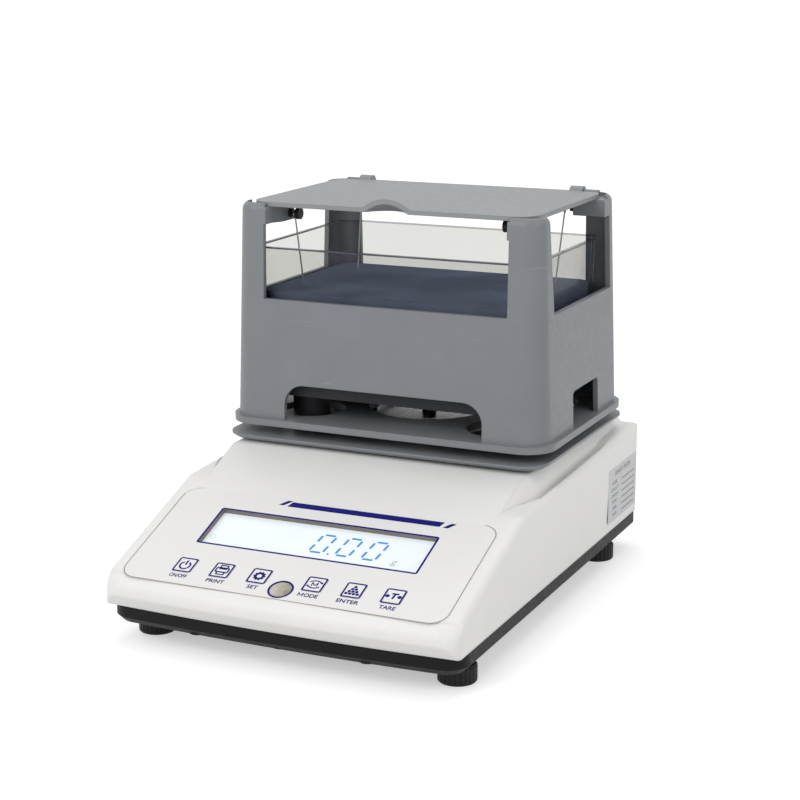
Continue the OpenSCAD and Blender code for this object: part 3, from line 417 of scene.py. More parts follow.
def thicken(obj, thickness, offset=1.0):
    """Gives flat or hollow work its thickness."""
    pick(obj)
    wall = obj.modifiers.new("thickness", "SOLIDIFY")
    wall.thickness = thickness
    wall.offset = offset
    bpy.ops.object.modifier_apply(modifier=wall.name)


# Flat work is drawn in millimetres: its middle, width and height, corner radius and line width

def flat_bar(x, y, width, height, turn=0.0):
    clear_selection()
    bpy.ops.mesh.primitive_plane_add(size=1, location=(x * MM, y * MM, 0), rotation=(0, 0, turn))
    obj = bpy.context.object
    obj.scale = (width * MM, height * MM, 1)
    return settle(obj)


def flat_plate(x, y, width, height, radius, segments=6):
    obj = flat_bar(x, y, width, height)
    edit(obj)
    bpy.ops.mesh.bevel(offset=radius * MM, segments=segments, affect="VERTICES")
    leave_edit()
    return obj


def hollow(obj, line):
    """Leaves only a line along the edge of a flat face."""
    edit(obj)
    bpy.ops.mesh.inset(thickness=line * MM, use_even_offset=True)
    bpy.ops.mesh.delete(type="FACE")
    leave_edit()
    return obj


def flat_frame(x, y, width, height, radius, line):
    return hollow(flat_plate(x, y, width, height, radius), line)


def flat_disc(x, y, radius, vertices=24):
    clear_selection()
    bpy.ops.mesh.primitive_circle_add(vertices=vertices, radius=radius * MM, fill_type="NGON",
                                      location=(x * MM, y * MM, 0))
    return settle(bpy.context.object)


def flat_ring(x, y, radius, line, vertices=40):
    return hollow(flat_disc(x, y, radius, vertices), line)


def flat_word(text, x, y, size, slant=0.0, squeeze=1.0, bold=0.0):
    """A word of flat lettering, its strokes made wider by bold on each side."""
    clear_selection()
    bpy.ops.object.text_add(location=(0, 0, 0))
    obj = bpy.context.object
    obj.data.body = text
    obj.data.align_x = "CENTER"
    obj.data.align_y = "CENTER"
    obj.data.size = size * MM
    obj.data.shear = slant
    obj.data.offset = bold * MM
    bpy.ops.object.convert(target="MESH")
    obj = bpy.context.object
    obj.scale = (squeeze, 1, 1)
    obj.location = (x * MM, y * MM, 0)
    return settle(obj)


def letter_m(x, y, width, height, line):
    """A capital M of four bars, because at this size the M of plain lettering fills in."""
    run = (width - line) / 2
    rise = height * 0.8
    thin = line * 0.85
    bars = []
    for side in (-1, 1):
        bars.append(flat_bar(x + side * run, y, line, height))
        bars.append(flat_bar(x + side * run / 2, y + (height - rise) / 2, math.hypot(run, rise),
                             thin, math.atan2(side * rise, run)))
    return bars


def lay_on_panel(obj, out, thickness):
    """Gives flat print its thickness and lays it on the panel, out millimetres above it."""
    thicken(obj, thickness)
    obj.location = (0, 0, out * MM)
    settle(obj)
    obj.rotation_euler = (PANEL_TILT, 0, 0)
    obj.location = (0, PANEL_Y * MM, PANEL_Z * MM)
    return settle(obj)


def dress(obj, material, body):
    """Gives a new piece its finish and the body it rides."""
    obj.data.materials.clear()
    obj.data.materials.append(material)
    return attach(obj, body)


def coat(names, material):
    """Gives CAD nodes their finish."""
    for name in names:
        mesh = CAD[name].data
        mesh.materials.clear()
        mesh.materials.append(material)


BODIES = {node: body for body, nodes in frame["record"]["behaviour"]["bodies"].items()
          for node in nodes}
INKS = {}


def ink():
    """The navy ink, made once."""
    if "navy" not in INKS:
        INKS["navy"] = printed_ink("navy ink", bpy.context.scene.density_meter_colours.ink)
    return INKS["navy"]


# ---------------- operators

class DENSITYMETER_OT_finishes(bpy.types.Operator):
    """Give every moulded, metal and electronic part its finish"""
    bl_idname = "density_meter.finishes"
    bl_label = "Finish the parts"

    def execute(self, context):
        tint = context.scene.density_meter_colours
        keys = [name for name in CAD if name.startswith("key_") and name != "key_switches"]
        feet = [name for name in CAD if name.startswith("foot_")]
        coat(["upper_housing"],
             moulded_plastic("white cover moulding", tint.cover, rough=0.42, mottle=0.012,
                             bump=0.05, crevice=0.12, round_edge=0.0022))
        coat(keys,
             moulded_plastic("white key cap", tint.cover, rough=0.36, mottle=0.012, bump=0.04,
                             crevice=0.2, round_edge=0.0003))
        coat(["panel_overlay"],
             moulded_plastic("overlay film", shade(tint.cover, 0.985), rough=0.33, grain=4000.0,
                             bump=0.03, mottle=0.01, crevice=0.0, round_edge=0.0))
        coat(["base_tray"],
             moulded_plastic("charcoal tray moulding", tint.tray, rough=0.44, grain=1800.0,
                             bump=0.12, mottle=0.12, crevice=0.2, round_edge=0.0012, gloss=0.12))
        coat(feet,
             moulded_plastic("black foot moulding", (0.021, 0.021, 0.0215), rough=0.4, bump=0.08,
                             mottle=0.1, crevice=0.2, round_edge=0.0003, gloss=0.2))
        coat(["tank_platform"],
             moulded_plastic("charcoal platform moulding", tint.platform, rough=0.5, grain=2200.0,
                             bump=0.07, mottle=0.08, crevice=0.2, round_edge=0.0005, gloss=0.2))
        coat(["weighing_frame", "stand_plate"],
             moulded_plastic("grey kit moulding", tint.kit, rough=0.40, grain=2200.0, bump=0.07,
                             mottle=0.035, scratches=0.5, crevice=0.3, round_edge=0.0008))
        coat(["lid"],
             moulded_plastic("grey lid moulding", tint.lid, rough=0.46, grain=2200.0, bump=0.07,
                             mottle=0.015, scratches=0.2, crevice=0.2, round_edge=0.0006,
                             gloss=0.2))
        coat(["hanger_caps", "pan_screw", "power_inlet", "key_switches"],
             moulded_plastic("black knob moulding", (0.010, 0.010, 0.011), rough=0.42, mottle=0.1,
                             round_edge=0.0002, gloss=0.2))
        coat(["stand_pads"],
             moulded_plastic("pad rubber", (0.012, 0.012, 0.012), rough=0.75, grain=900.0, bump=0.2,
                             mottle=0.2, round_edge=0.0))
        coat(["weighing_pan"],
             brushed_metal("brushed pan steel", (0.56, 0.57, 0.57), 0.3, (30.0, 1.0, 1.0), 60.0))
        coat(["basket"], brushed_metal("basket steel", (0.55, 0.56, 0.57), 0.34))
        coat(["hanger_wires", "hinge_pins", "hanger_bolts"],
             brushed_metal("drawn steel wire", (0.30, 0.305, 0.315), 0.4))
        coat(["load_cell", "load_cell_mount", "pan_carrier"],
             brushed_metal("milled aluminium", (0.62, 0.63, 0.64), 0.36, (1.0, 24.0, 1.0)))
        coat(["load_cell_bolts", "carrier_bolts", "overload_stop", "housing_screws", "board_screws",
              "display_screws", "stand_screws", "platform_screws", "data_port"],
             brushed_metal("plated screw steel", (0.5, 0.5, 0.48), 0.28))
        coat(["main_board", "display_board"],
             circuit_lacquer("circuit board lacquer", (0.02, 0.12, 0.045)))
        coat(["water_tank"],
             clear_wall("clear tank moulding", (0.06, 0.07, 0.095), (0.06, 0.068, 0.10)))
        coat(["lcd_backlight"],
             moulded_plastic("light guide", (0.80, 0.80, 0.77), rough=0.5, round_edge=0.0))
        coat(["lcd_panel"], lit_screen("lit display glass", tint.screen))
        coat(["level_ring"], printed_ink("navy level ring", tint.ink, 0.3))
        # the level window's own olive, with painted shade across it
        coat(["level_window"],
             level_glass("olive level glass", (0.55, 0.53, 0.45), (0.25, 0.232, 0.165)))
        coat(["level_vial"],
             moulded_plastic("olive level vial", (0.36, 0.33, 0.25), rough=0.22, mottle=0.12,
                             bump=0.02, round_edge=0.0003))
        return {"FINISHED"}


class DENSITYMETER_OT_smooth_skins(bpy.types.Operator):
    """Stand a merged, smoothly shaded copy in for each curved part, in the same place"""
    bl_idname = "density_meter.smooth_skins"
    bl_label = "Smooth the curved parts"

    def soften_nose(self, skin):
        """Rounds the cover's two nose corners, which the plain solid leaves upright."""
        # where the rounding starts, its reach and its foot, in millimetres
        side, front, radius, foot = 93.5, -132.37, 10.0, 29.5
        margin, lead, seam = 3.2, 2.2, 4.0  # how far the cuts run on past the rounding
        hair, ring_step, layer_step, steps = 0.01, 1.28, 1.5, 8  # how the corners are cut up
        flat, drop, inset = 2.0, 4.5, 1.5  # what stays flat, and how far the corners go down and in
        fade, steepest = 0.6, 0.995  # how it fades into the straight edges, and its steepest end

        def reach(co):
            return abs(co.x) / MM - side, front - co.y / MM

        bounds = [((0, front + margin, 0), (0, 1, 0)), ((side - margin, 0, 0), (1, 0, 0)),
                  ((margin - side, 0, 0), (1, 0, 0)), ((0, 0, foot - lead), (0, 0, 1))]
        cuts = list(bounds)
        for step in range(steps):
            for sign in (-1, 1):
                cuts.append(((sign * (side + hair + ring_step * step), 0, 0), (1, 0, 0)))
            cuts.append(((0, front - hair - ring_step * step, 0), (0, 1, 0)))
            cuts.append(((0, 0, foot + hair + layer_step * step), (0, 0, 1)))
        for place, normal in cuts:
            pick(skin)
            for face in skin.data.polygons:
                u, v = reach(face.center)
                inside = u > -margin and v > -margin and face.center.z > (foot - lead) * MM
                face.select = inside or (place, normal) in bounds
            bpy.ops.object.mode_set(mode="EDIT")
            bpy.ops.mesh.bisect(plane_co=[c * MM for c in place], plane_no=normal)
            leave_edit()
        for vertex in skin.data.vertices:
            co = vertex.co
            u, v = reach(co)
            if u <= 0 or v <= 0 or co.z <= foot * MM:
                continue
            out = math.hypot(u, v)
            turned = math.sin(2 * math.atan2(v, u)) ** fade
            share = min(max((out - flat) / (radius - flat), 0.0), steepest)
            roof = PANEL_Z + math.tan(PANEL_TILT) * (co.y / MM - PANEL_Y)
            high = min(max((co.z / MM - foot) / (roof - foot), 0.0), 1.0)
            inward = inset * turned * high ** 2 * out / radius
            co.z -= drop * turned * (1 - math.sqrt(1 - share ** 2)) * high * MM
            co.x -= math.copysign(u / out * inward * MM, co.x)
            co.y += v / out * inward * MM
        pick(skin)
        for face in skin.data.polygons:
            u, v = reach(face.center)
            face.select = u > -seam and v > -seam
        bpy.ops.object.mode_set(mode="EDIT")
        bpy.ops.mesh.quads_convert_to_tris()
        leave_edit()

    def execute(self, context):
        same_point = 0.002 * MM
        smooth_below = math.radians(24)
        curved = ["upper_housing", "base_tray", "panel_overlay", "stand_plate", "tank_platform",
                  "water_tank", "weighing_frame", "weighing_pan", "lid", "hinge_pins",
                  "hanger_bolts", "hanger_caps", "hanger_wires", "basket", "level_ring",
                  "level_window", "level_vial", "pan_screw", "stand_pads", "power_inlet",
                  "data_port"]
        curved += [name for name in CAD
                   if name.startswith(("foot_", "key_")) and name != "key_switches"]
        for name in curved:
            pick(CAD[name])
            bpy.ops.object.duplicate()
            skin = context.view_layer.objects.active
            skin.name = name + "_skin"
            skin.data.name = skin.name
            del skin["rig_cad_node"]
            bpy.ops.mesh.customdata_custom_splitnormals_clear()
            edit(skin)
            bpy.ops.mesh.remove_doubles(threshold=same_point)
            leave_edit()
            if name == "upper_housing":
                self.soften_nose(skin)
            bpy.ops.object.shade_smooth_by_angle(angle=smooth_below)
            weight = skin.modifiers.new("face weights", "WEIGHTED_NORMAL")
            weight.keep_sharp = True
            bpy.ops.object.modifier_apply(modifier=weight.name)
            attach(skin, BODIES[name])
            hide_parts(name)
        return {"FINISHED"}


class DENSITYMETER_OT_panel_print(bpy.types.Operator):
    """Print the stripe, the window line and the words on the panel, and draw the joint line as
    painted shadow
    """
    bl_idname = "density_meter.panel_print"
    bl_label = "Print the panel"

    # what stands under each key, and how wide its lettering is drawn
    WORDS = {"key_power": ("ON/OFF", 0.74), "key_print": ("PRINT", 1.02), "key_set": ("SET", 1.04),
             "key_mode": ("MODE", 0.99), "key_enter": ("ENTER", 1.08), "key_tare": ("TARE", 1.0)}

    def leaning_bar(self, x, y, width, height, lean):
        """A bar whose two ends lean to the right."""
        bar = flat_bar(x, y, width, height)
        for vertex in bar.data.vertices:
            vertex.co.x += (vertex.co.y / MM - y) * lean * MM
        return bar

    def word(self, text, x, y, size, squeeze):
        """A word of flat lettering, its first letter built of bars where that is an M."""
        bold = 0.08
        if not text.startswith("M"):
            return [flat_word(text, x, y, size, 0.0, squeeze, bold)]
        letter_width, letter_line, shift, gap = 3.1, 0.5, 1.6, 0.5
        rest = flat_word(text[1:], x + shift, y, size, 0.0, squeeze, bold)
        left = min(vertex.co.x for vertex in rest.data.vertices) / MM
        ups = [vertex.co.y / MM for vertex in rest.data.vertices]
        low, high = min(ups), max(ups)
        return [rest] + letter_m(left - gap - letter_width / 2, (low + high) / 2, letter_width,
                                 (high - low) * 0.96, letter_line)

    def execute(self, context):
        size = context.scene.density_meter_sizes
        # each bar's middle across and up the slope, its width and height, and how far it leans
        stripe = (16.8, 61.9, 90.6, 4.2, 0.40)
        right_end, left_end = (66.6, 61.6, 2.9, 4.2, 0.85), (-31.4, 62.6, 2.9, 4.4, 0.9)
        wide, high, corner = 130.6, 32.0, 1.4  # the line round the window
        words_up, words_right = -9.0, 0.2
        level_up, level_radius, level_line = -7.5, 6.75, 0.85
        parts = [self.leaning_bar(*bar) for bar in (stripe, right_end, left_end)]
        parts.append(flat_frame(0, WINDOW_UP, wide, high, corner, size.window_line / MM))
        for key, (text, squeeze) in self.WORDS.items():
            parts += self.word(text, KEY_PLACES[key] + words_right, words_up,
                               size.word_height / MM, squeeze)
        parts.append(flat_ring(0, level_up, level_radius, level_line, 64))
        print_work = merge(parts, "panel_ink")
        lay_on_panel(print_work, 0.01, size.print_height)
        dress(print_work, ink(), "base")

        film_up, film_wide, film_high, film_corner = 25.3, 188.6, 82.0, 9.5
        # the joint line is painted shadow in the groove round the overlay
        joint = flat_frame(0, film_up, film_wide, film_high, film_corner, size.groove_line / MM)
        joint.name = "overlay_joint"
        # the joint's painted shadow shows on its far side only at its right end
        far_side, right_part = 58 * MM, 80 * MM
        drop_faces(joint, lambda c: c.y > far_side and c.x < right_part)
        lay_on_panel(joint, -0.02, 0.06 * MM)
        dress(joint, printed_ink("joint shadow", (0.33, 0.285, 0.25), 0.7), "base")

        seam = flat_bar(0, 66.15, 170.0, 0.9)
        seam.name = "overlay_seam"
        lay_on_panel(seam, 0.0, 0.03 * MM)
        dress(seam, CAD["panel_overlay"].data.materials[0], "base")
        return {"FINISHED"}


class DENSITYMETER_OT_key_marks(bpy.types.Operator):
    """Print the frame and the mark of each key"""
    bl_idname = "density_meter.key_marks"
    bl_label = "Print the key marks"

    def power(self, x):
        """A ring open at its top, with a bar in the opening."""
        ring = flat_ring(x, -0.4, 3.4, 1.0, 72)
        drop_faces(ring, lambda c: abs(c.x / MM - x) < 1.45 and c.y > 0)
        return [ring, flat_bar(x, 1.8, 1.0, 3.8)]

    def printer(self, x):
        """A printer's outline: body, lid, slot and sheet."""
        return [flat_frame(x, 0.2, 8.0, 4.3, 1.0, 0.9),
                flat_frame(x + 0.1, 3.0, 4.9, 2.7, 0.5, 0.8),
                flat_bar(x, 1.25, 4.6, 1.1),
                flat_frame(x, -2.4, 5.2, 2.8, 0.4, 0.8)]

    def gear(self, x):
        """A gear wheel: a ring with short teeth standing out from its middle."""
        teeth, out = 10, 3.05
        parts = [flat_ring(x, 0, 2.95, 1.5, 40)]
        for step in range(teeth):
            angle = step * 2 * math.pi / teeth
            parts.append(flat_bar(x + out * math.cos(angle), out * math.sin(angle), 0.9, 1.0,
                                  angle))
        return parts

    def mode(self, x):
        """An M between two bowed arrows, each a piece of a ring with a pointed end."""
        low, bow = 2.2, 3.9
        parts = letter_m(x, 0, 3.7, 3.0, 0.62)
        for sign in (1, -1):
            arc = flat_ring(x, -sign * low, 5.5, 0.8, 96)
            drop_faces(arc, lambda c, s=sign: (s * (c.y / MM + s * low) < bow))
            parts.append(arc)
            parts.append(flat_disc(x + sign * 3.55, sign * 1.55, 1.05, 3))
        return parts

    def enter(self, x):
        """Dots heaped in a triangle."""
        rows, across, down, top, dot = 4, 2.12, 1.85, 2.7, 0.95
        return [flat_disc(x + (column - row / 2) * across, top - row * down, dot, 16)
                for row in range(rows) for column in range(row + 1)]

    def tare(self, x):
        """A T between two dots."""
        letter = flat_word("T", x, 0, 5.8, 0.12, 1.0, 0.3)
        return [letter] + [flat_disc(x + side * 3.35, -0.1, 1.2, 20) for side in (-1, 1)]

    def execute(self, context):
        size = context.scene.density_meter_sizes
        key_rise = 0.2  # how far a key stands out of the panel
        wide, high, corner = 11.1, 11.7, 1.35  # the frame printed on each key
        marks = {"key_power": self.power, "key_print": self.printer, "key_set": self.gear,
                 "key_mode": self.mode, "key_enter": self.enter, "key_tare": self.tare}
        for key, draw in marks.items():
            x = KEY_PLACES[key]
            parts = [flat_frame(x, 0, wide, high, corner, size.key_line / MM)] + draw(x)
            mark = merge(parts, key + "_mark")
            lay_on_panel(mark, key_rise, size.print_height)
            dress(mark, ink(), key)
        return {"FINISHED"}


class DENSITYMETER_OT_display(bpy.types.Operator):
    """Build the display's figures and the lining of its window"""
    bl_idname = "density_meter.display"
    bl_label = "Build the display"

    GLASS = -2.98  # just above the display glass, measured from the panel
    # the strokes of a nought: both ends, in parts of a figure's width and height
    NOUGHT = (((0.10, 0), (0.92, 0)), ((0.12, 1), (0.94, 1)), ((0, 0.06), (0, 0.42)),
              ((0, 0.58), (0, 0.94)), ((1.04, 0.06), (1.04, 0.42)), ((1.04, 0.58), (1.04, 0.94)))

    def segment(self, x0, y0, x1, y1):
        """A figure's stroke: a bar with pointed ends."""
        width = 1.45
        length = math.hypot(x1 - x0, y1 - y0)
        turn = math.atan2(y1 - y0, x1 - x0)
        bar = flat_bar((x0 + x1) / 2, (y0 + y1) / 2, length, width, turn)
        edit(bar)
        bpy.ops.mesh.bevel(offset=width * 0.42 * MM, segments=1, affect="VERTICES")
        leave_edit()
        return bar

    def execute(self, context):
        high = context.scene.density_meter_sizes.digit_height / MM
        lefts, low, wide, slant = (-2.1, 13.3, 28.6), 28.9, 7.7, 0.16
        film = 0.02 * MM
        parts = []
        for left in lefts:
            for stroke in self.NOUGHT:
                (x0, y0), (x1, y1) = [(left + u * wide + v * high * slant, low + v * high)
                                      for u, v in stroke]
                parts.append(self.segment(x0, y0, x1, y1))
        point = flat_plate(9.4, 28.7, 1.3, 1.3, 0.3, 2)
        figures = merge(parts + [point], "display_figures")
        lay_on_panel(figures, self.GLASS, film)
        mat, nodes, links, skin = new_finish("lit figures")
        colour = context.scene.density_meter_colours.figures
        links.new(two_tone(nodes, links, noise(nodes, links, 200.0), shade(colour, 0.94), colour),
                  skin.inputs["Base Color"])
        skin.inputs["Roughness"].default_value = 0.45
        skin.inputs["Specular IOR Level"].default_value = 0.2
        dress(figures, mat, "base")

        unit = flat_word("g", 47.6, 29.9, 6.6, 0.1, 1.0, 0.05)
        steady_mark = flat_ring(-60.6, 29.6, 1.9, 0.35, 24)
        faint = merge([unit, steady_mark], "display_unit")
        lay_on_panel(faint, self.GLASS, film)
        dress(faint, printed_ink("faint display marks", (0.50, 0.66, 0.66), 0.3), "base")

        across, up, corner, line = 129.58, 30.98, 0.98, 0.25
        wall = flat_frame(0, WINDOW_UP, across, up, corner, line)
        wall.name = "window_lining"
        bottom, depth = -2.97, 2.9
        lay_on_panel(wall, bottom, depth * MM)
        lining = moulded_plastic("grey-brown window lining", (0.20, 0.175, 0.155), rough=0.5,
                                 mottle=0.08, crevice=0.0, round_edge=0.0)
        dress(wall, lining, "base")
        return {"FINISHED"}


class DENSITYMETER_OT_water(bpy.types.Operator):
    """Fill the tank with its water, open round the wires"""
    bl_idname = "density_meter.water"
    bl_label = "Fill the tank"

    # the tank's inside in millimetres: floor, half lengths there, corner radius at the water line,
    # and the gap left beside the walls
    FLOOR, FOOT_X, FOOT_Y, CORNER, GAP = 117.15, 79.55, 52.95, 11.0, 0.02
    FILM = 0.5  # the skin's thickness
    # the wires in millimetres: height and place of their lower ends, their rise to the hooks, and
    # how far they lean outwards, to the rear and to the front
    WIRE_FOOT, WIRE_X, WIRE_Y = 133.6, 63.2, 29.0
    WIRE_RISE, LEAN_X, LEAN_REAR, LEAN_FRONT = 78.3, 3.3, 17.6, 11.6
    HOLE, PLUG = 1.1, 12  # radius of their openings, and height of what cuts them

    def body(self, level):
        """The water's skin: a plate at its surface, drawn down to the tank's floor."""
        middle = (0, KIT_Y * MM)
        share = (level - TANK_FOOT) / TANK_HEIGHT
        top_x, top_y = [foot + TANK_LEAN * share - self.GAP for foot in (self.FOOT_X, self.FOOT_Y)]
        clear_selection()
        bpy.ops.mesh.primitive_plane_add(size=1, location=(*middle, level * MM))
        skin = bpy.context.object
        skin.scale = (2 * top_x * MM, 2 * top_y * MM, 1)
        settle(skin)
        edit(skin)
        bpy.ops.mesh.bevel(offset=self.CORNER * MM, segments=8, affect="VERTICES")
        leave_edit()
        edit(skin)
        down = (0, 0, (self.FLOOR - level) * MM)
        bpy.ops.mesh.extrude_region_move(TRANSFORM_OT_translate={"value": down})
        bpy.ops.transform.resize(value=(self.FOOT_X / top_x, self.FOOT_Y / top_y, 1),
                                 center_override=(*middle, self.FLOOR * MM))
        bpy.ops.mesh.delete(type="FACE")
        leave_edit()
        skin.name = "tank_water"
        edit(skin)
        bpy.ops.mesh.normals_make_consistent(inside=False)
        leave_edit()
        thicken(skin, self.FILM * MM, -1.0)
        return skin

    def open_round_wires(self, skin, level):
        """Cuts the openings through which the four leaning wires pass the surface."""
        slope = (level - self.WIRE_FOOT) / self.WIRE_RISE
        cutters = []
        for sx in (-1, 1):
            for sy in (-1, 1):
                lean = self.LEAN_REAR if sy > 0 else self.LEAN_FRONT
                x = sx * (self.WIRE_X + self.LEAN_X * slope)
                y = KIT_Y + sy * (self.WIRE_Y + lean * slope)
                bpy.ops.mesh.primitive_cylinder_add(
                    vertices=20, radius=self.HOLE * MM, depth=self.PLUG * MM,
                    location=(x * MM, y * MM, level * MM))
                cutters.append(bpy.context.object)
        cutter = merge(cutters, "wire_clearance")
        cut = skin.modifiers.new("wires", "BOOLEAN")
        cut.operation = "DIFFERENCE"
        cut.object = cutter
        cut.solver = "EXACT"
        pick(skin)
        bpy.ops.object.modifier_apply(modifier=cut.name)
        bpy.data.objects.remove(cutter)

    def execute(self, context):
        level = context.scene.density_meter_sizes.water_level / MM
        skin = self.body(level)
        self.open_round_wires(skin, level)
        mat, nodes, links, shader = new_finish("tank water tint")
        colour = context.scene.density_meter_colours.water
        links.new(two_tone(nodes, links, noise(nodes, links, 17.0, 5.0, 0.6), shade(colour, 0.78),
                           shade(colour, 1.3), (0.34, 0.68)), shader.inputs["Base Color"])
        shader.inputs["Roughness"].default_value = 0.5
        shader.inputs["Specular IOR Level"].default_value = 0.0
        shader.inputs["Alpha"].default_value = 0.95
        ripple = relief(nodes, links, noise(nodes, links, 70.0, 2.0), 0.15, 0.4)
        links.new(ripple.outputs["Normal"], shader.inputs["Normal"])
        dress(skin, mat, "base")
        return {"FINISHED"}


class DENSITYMETER_OT_rim(bpy.types.Operator):
    """Draw the edge of the tank's thick rim in its own dark tint, with painted shade that is dark
    at the front and clearer towards the rear
    """
    bl_idname = "density_meter.rim"
    bl_label = "Edge the tank's rim"

    def execute(self, context):
        wide, deep, corner, line = 172.06, 118.86, 14.03, 2.3
        hair, down = 0.03, 0.9  # how far it stands over the tank, and reaches down
        rim = hollow(flat_plate(0, 0, wide, deep, corner, 10), line)
        rim.name = "tank_rim"
        thicken(rim, down * MM, -1.0)
        rim.location = (0, KIT_Y * MM, (TANK_FOOT + TANK_HEIGHT + hair) * MM)
        settle(rim)
        mat, nodes, links, skin = new_finish("dark tank rim")
        links.new(two_tone(nodes, links, noise(nodes, links, 45.0, 3.0), (0.02, 0.022, 0.045),
                           (0.06, 0.064, 0.085)), skin.inputs["Base Color"])
        skin.inputs["Roughness"].default_value = 0.15
        # painted shade: the rim is opaque at the front and fades towards the rear
        middle, rear = 60 * MM, 112 * MM
        links.new(remap(nodes, links, along(nodes, links, "Y"), middle, rear, 1.0, 0.25),
                  skin.inputs["Alpha"])
        dress(rim, mat, "base")
        return {"FINISHED"}


class DENSITYMETER_OT_label(bpy.types.Operator):
    """Stick the paper label with its plain form on the cover's right side"""
    bl_idname = "density_meter.label"
    bl_label = "Stick the side label"

    ROWS = ("MODEL", "CAPACITY", "DIVISION", "SUPPLY", "SERIAL", "DATE")
    MIDDLE_Y, MIDDLE_Z = 112.0, 45.0

    def lay(self, obj, name, x, thickness):
        """Gives flat work its thickness and lays it on the side, x millimetres from the middle."""
        obj.name = name
        thicken(obj, thickness * MM)
        obj.rotation_euler = (math.pi / 2, 0, math.pi / 2)
        obj.location = (x * MM, self.MIDDLE_Y * MM, self.MIDDLE_Z * MM)
        return settle(obj)

    def execute(self, context):
        cover_x, paper, film = 103.46, 0.12, 0.02
        wide, high, corner = 52.0, 33.0, 1.2
        label = self.lay(flat_plate(0, 0, wide, high, corner, 4), "side_label", cover_x, paper)
        dress(label, moulded_plastic("label paper", (0.60, 0.605, 0.615), rough=0.55, mottle=0.04,
                                     crevice=0.0, round_edge=0.0), "base")
        title_up, word_up, line_up, pitch = 12.2, 6.8, 6.2, 3.9
        rows = [flat_word("DENSITY METER", 0, title_up, 4.0)]
        for row, word in enumerate(self.ROWS):
            down = pitch * row
            rows.append(flat_word(word, -14.0, word_up - down, 2.9))
            rows.append(flat_bar(10.5, line_up - down, 24.0, 0.5))
        form = self.lay(merge(rows, "label_form"), "label_form", cover_x + paper, film)
        dress(form, printed_ink("grey label ink", (0.10, 0.10, 0.11), 0.5), "base")
        return {"FINISHED"}


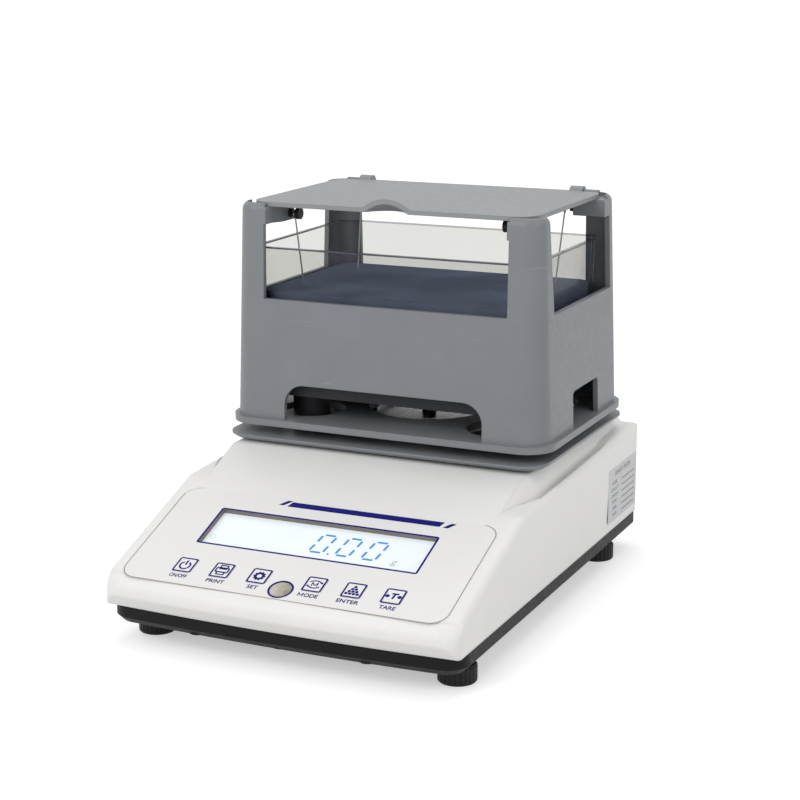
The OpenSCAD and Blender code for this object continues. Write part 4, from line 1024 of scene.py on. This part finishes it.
class DENSITYMETER_OT_stage(bpy.types.Operator):
    """Set the pale floor, the soft lamps and the camera"""
    bl_idname = "density_meter.stage"
    bl_label = "Set the stage"

    def seen(self, nodes, links):
        """1 for rays that show the background: direct, in reflections and through clear parts."""
        ray = nodes.new("ShaderNodeLightPath")
        direct = combine(nodes, links, "MAXIMUM", ray.outputs["Is Camera Ray"],
                         ray.outputs["Is Transmission Ray"])
        return combine(nodes, links, "MAXIMUM", direct.outputs[0],
                       ray.outputs["Is Glossy Ray"]).outputs[0]

    def lamp(self, name, place, aim, size, power):
        """A soft rectangular lamp at its place, aimed at a point; metres and watts."""
        data = bpy.data.lights.new(name, "AREA")
        data.shape = "RECTANGLE"
        data.size = size[0]
        data.size_y = size[1]
        data.energy = power
        obj = bpy.data.objects.new(name, data)
        bpy.context.scene.collection.objects.link(obj)
        obj.location = place
        obj.rotation_euler = (Vector(aim) - Vector(place)).to_track_quat("-Z", "Y").to_euler()

    def floor(self):
        """A pale floor that glows a little for rays that show the background."""
        clear_selection()
        bpy.ops.mesh.primitive_plane_add(size=40, location=(0, 0, 0))
        floor = bpy.context.object
        floor.name = "studio_floor"
        mat, nodes, links, skin = new_finish("studio floor")
        skin.inputs["Base Color"].default_value = (0.8, 0.8, 0.8, 1)
        skin.inputs["Roughness"].default_value = 0.9
        skin.inputs["Specular IOR Level"].default_value = 0.0
        skin.inputs["Emission Color"].default_value = (1, 1, 1, 1)
        place = nodes.new("ShaderNodeTexCoord")
        away = nodes.new("ShaderNodeVectorMath")
        away.operation = "LENGTH"
        links.new(place.outputs["Object"], away.inputs[0])
        # the glow grows from 1 m to 2.4 m away from the balance
        glow = combine(nodes, links, "MULTIPLY", self.seen(nodes, links),
                       remap(nodes, links, away.outputs["Value"], 1.0, 2.4, 0.45, 0.62))
        links.new(glow.outputs[0], skin.inputs["Emission Strength"])
        floor.data.materials.append(mat)

    def surroundings(self, scene):
        """A plain world: dimmer as a light than as a background."""
        world = bpy.data.worlds.new("studio")
        world.use_nodes = True
        scene.world = world
        nodes, links = world.node_tree.nodes, world.node_tree.links
        sky = nodes["Background"]
        sky.inputs["Color"].default_value = (1, 1, 1, 1)
        links.new(remap(nodes, links, self.seen(nodes, links), 0.0, 1.0, 0.56, 1.0),
                  sky.inputs["Strength"])

    def camera(self, scene):
        """The camera, where the photograph was taken from."""
        focal_pixels, frame_pixels, sensor = 1877.434, 800.0, 36.0
        place = (0.439456, -0.935189, 0.364505)
        azimuth, elevation, roll = (math.radians(a) for a in (24.798, 13.629, -0.192))
        data = bpy.data.cameras.new("photo_camera")
        data.sensor_width = sensor
        data.lens = focal_pixels * sensor / frame_pixels
        data.clip_start = 0.05
        data.clip_end = 20.0
        camera = bpy.data.objects.new("photo_camera", data)
        scene.collection.objects.link(camera)
        back = Vector((math.sin(azimuth) * math.cos(elevation),
                       -math.cos(azimuth) * math.cos(elevation), math.sin(elevation)))
        level_right = (-back).cross(Vector((0, 0, 1))).normalized()
        level_up = level_right.cross(-back)
        right = level_right * math.cos(roll) + level_up * math.sin(roll)
        up = level_up * math.cos(roll) - level_right * math.sin(roll)
        rows = [(right[i], up[i], back[i], place[i]) for i in range(3)]
        camera.matrix_world = Matrix((*rows, (0, 0, 0, 1)))
        scene.camera = camera

    def execute(self, context):
        scene = context.scene
        self.floor()
        self.surroundings(scene)
        self.lamp("key_softbox", (-0.6, -1.5, 1.2), (0, 0, 0.08), (1.2, 1.2), 14.6)
        self.lamp("fill_softbox", (1.5, -0.5, 0.8), (0, 0, 0.1), (1.0, 1.2), 4.7)
        self.lamp("top_softbox", (0.1, 0.5, 1.6), (0, 0, 0.1), (1.4, 1.0), 6.2)
        self.camera(scene)
        scene.view_settings.view_transform = "Standard"
        return {"FINISHED"}


class DENSITYMETER_PT_panel(bpy.types.Panel):
    """Sizes, colours and steps of the density meter"""
    bl_idname = "DENSITYMETER_PT_panel"
    bl_label = "Density Meter"
    bl_space_type = "VIEW_3D"
    bl_region_type = "UI"
    bl_category = "Density Meter"

    def draw(self, context):
        column = self.layout.column()
        for group in (context.scene.density_meter_sizes, context.scene.density_meter_colours):
            for name in group.__annotations__:
                column.prop(group, name)
        for step in STEPS:
            column.operator(step.bl_idname)


STEPS = (
    DENSITYMETER_OT_finishes, DENSITYMETER_OT_smooth_skins, DENSITYMETER_OT_panel_print,
    DENSITYMETER_OT_key_marks, DENSITYMETER_OT_display, DENSITYMETER_OT_water, DENSITYMETER_OT_rim,
    DENSITYMETER_OT_label, DENSITYMETER_OT_stage,
)
CLASSES = (DensityMeterSizes, DensityMeterColours) + STEPS + (DENSITYMETER_PT_panel,)


def register():
    for cls in CLASSES:
        bpy.utils.register_class(cls)
    bpy.types.Scene.density_meter_sizes = bpy.props.PointerProperty(type=DensityMeterSizes)
    bpy.types.Scene.density_meter_colours = bpy.props.PointerProperty(type=DensityMeterColours)


def unregister():
    del bpy.types.Scene.density_meter_colours
    del bpy.types.Scene.density_meter_sizes
    for cls in reversed(CLASSES):
        bpy.utils.unregister_class(cls)


def main():
    register()
    bpy.ops.density_meter.finishes()
    bpy.ops.density_meter.smooth_skins()
    bpy.ops.density_meter.panel_print()
    bpy.ops.density_meter.key_marks()
    bpy.ops.density_meter.display()
    bpy.ops.density_meter.water()
    bpy.ops.density_meter.rim()
    bpy.ops.density_meter.label()
    bpy.ops.density_meter.stage()
    clear_selection()


if __name__ == "__main__":
    main()
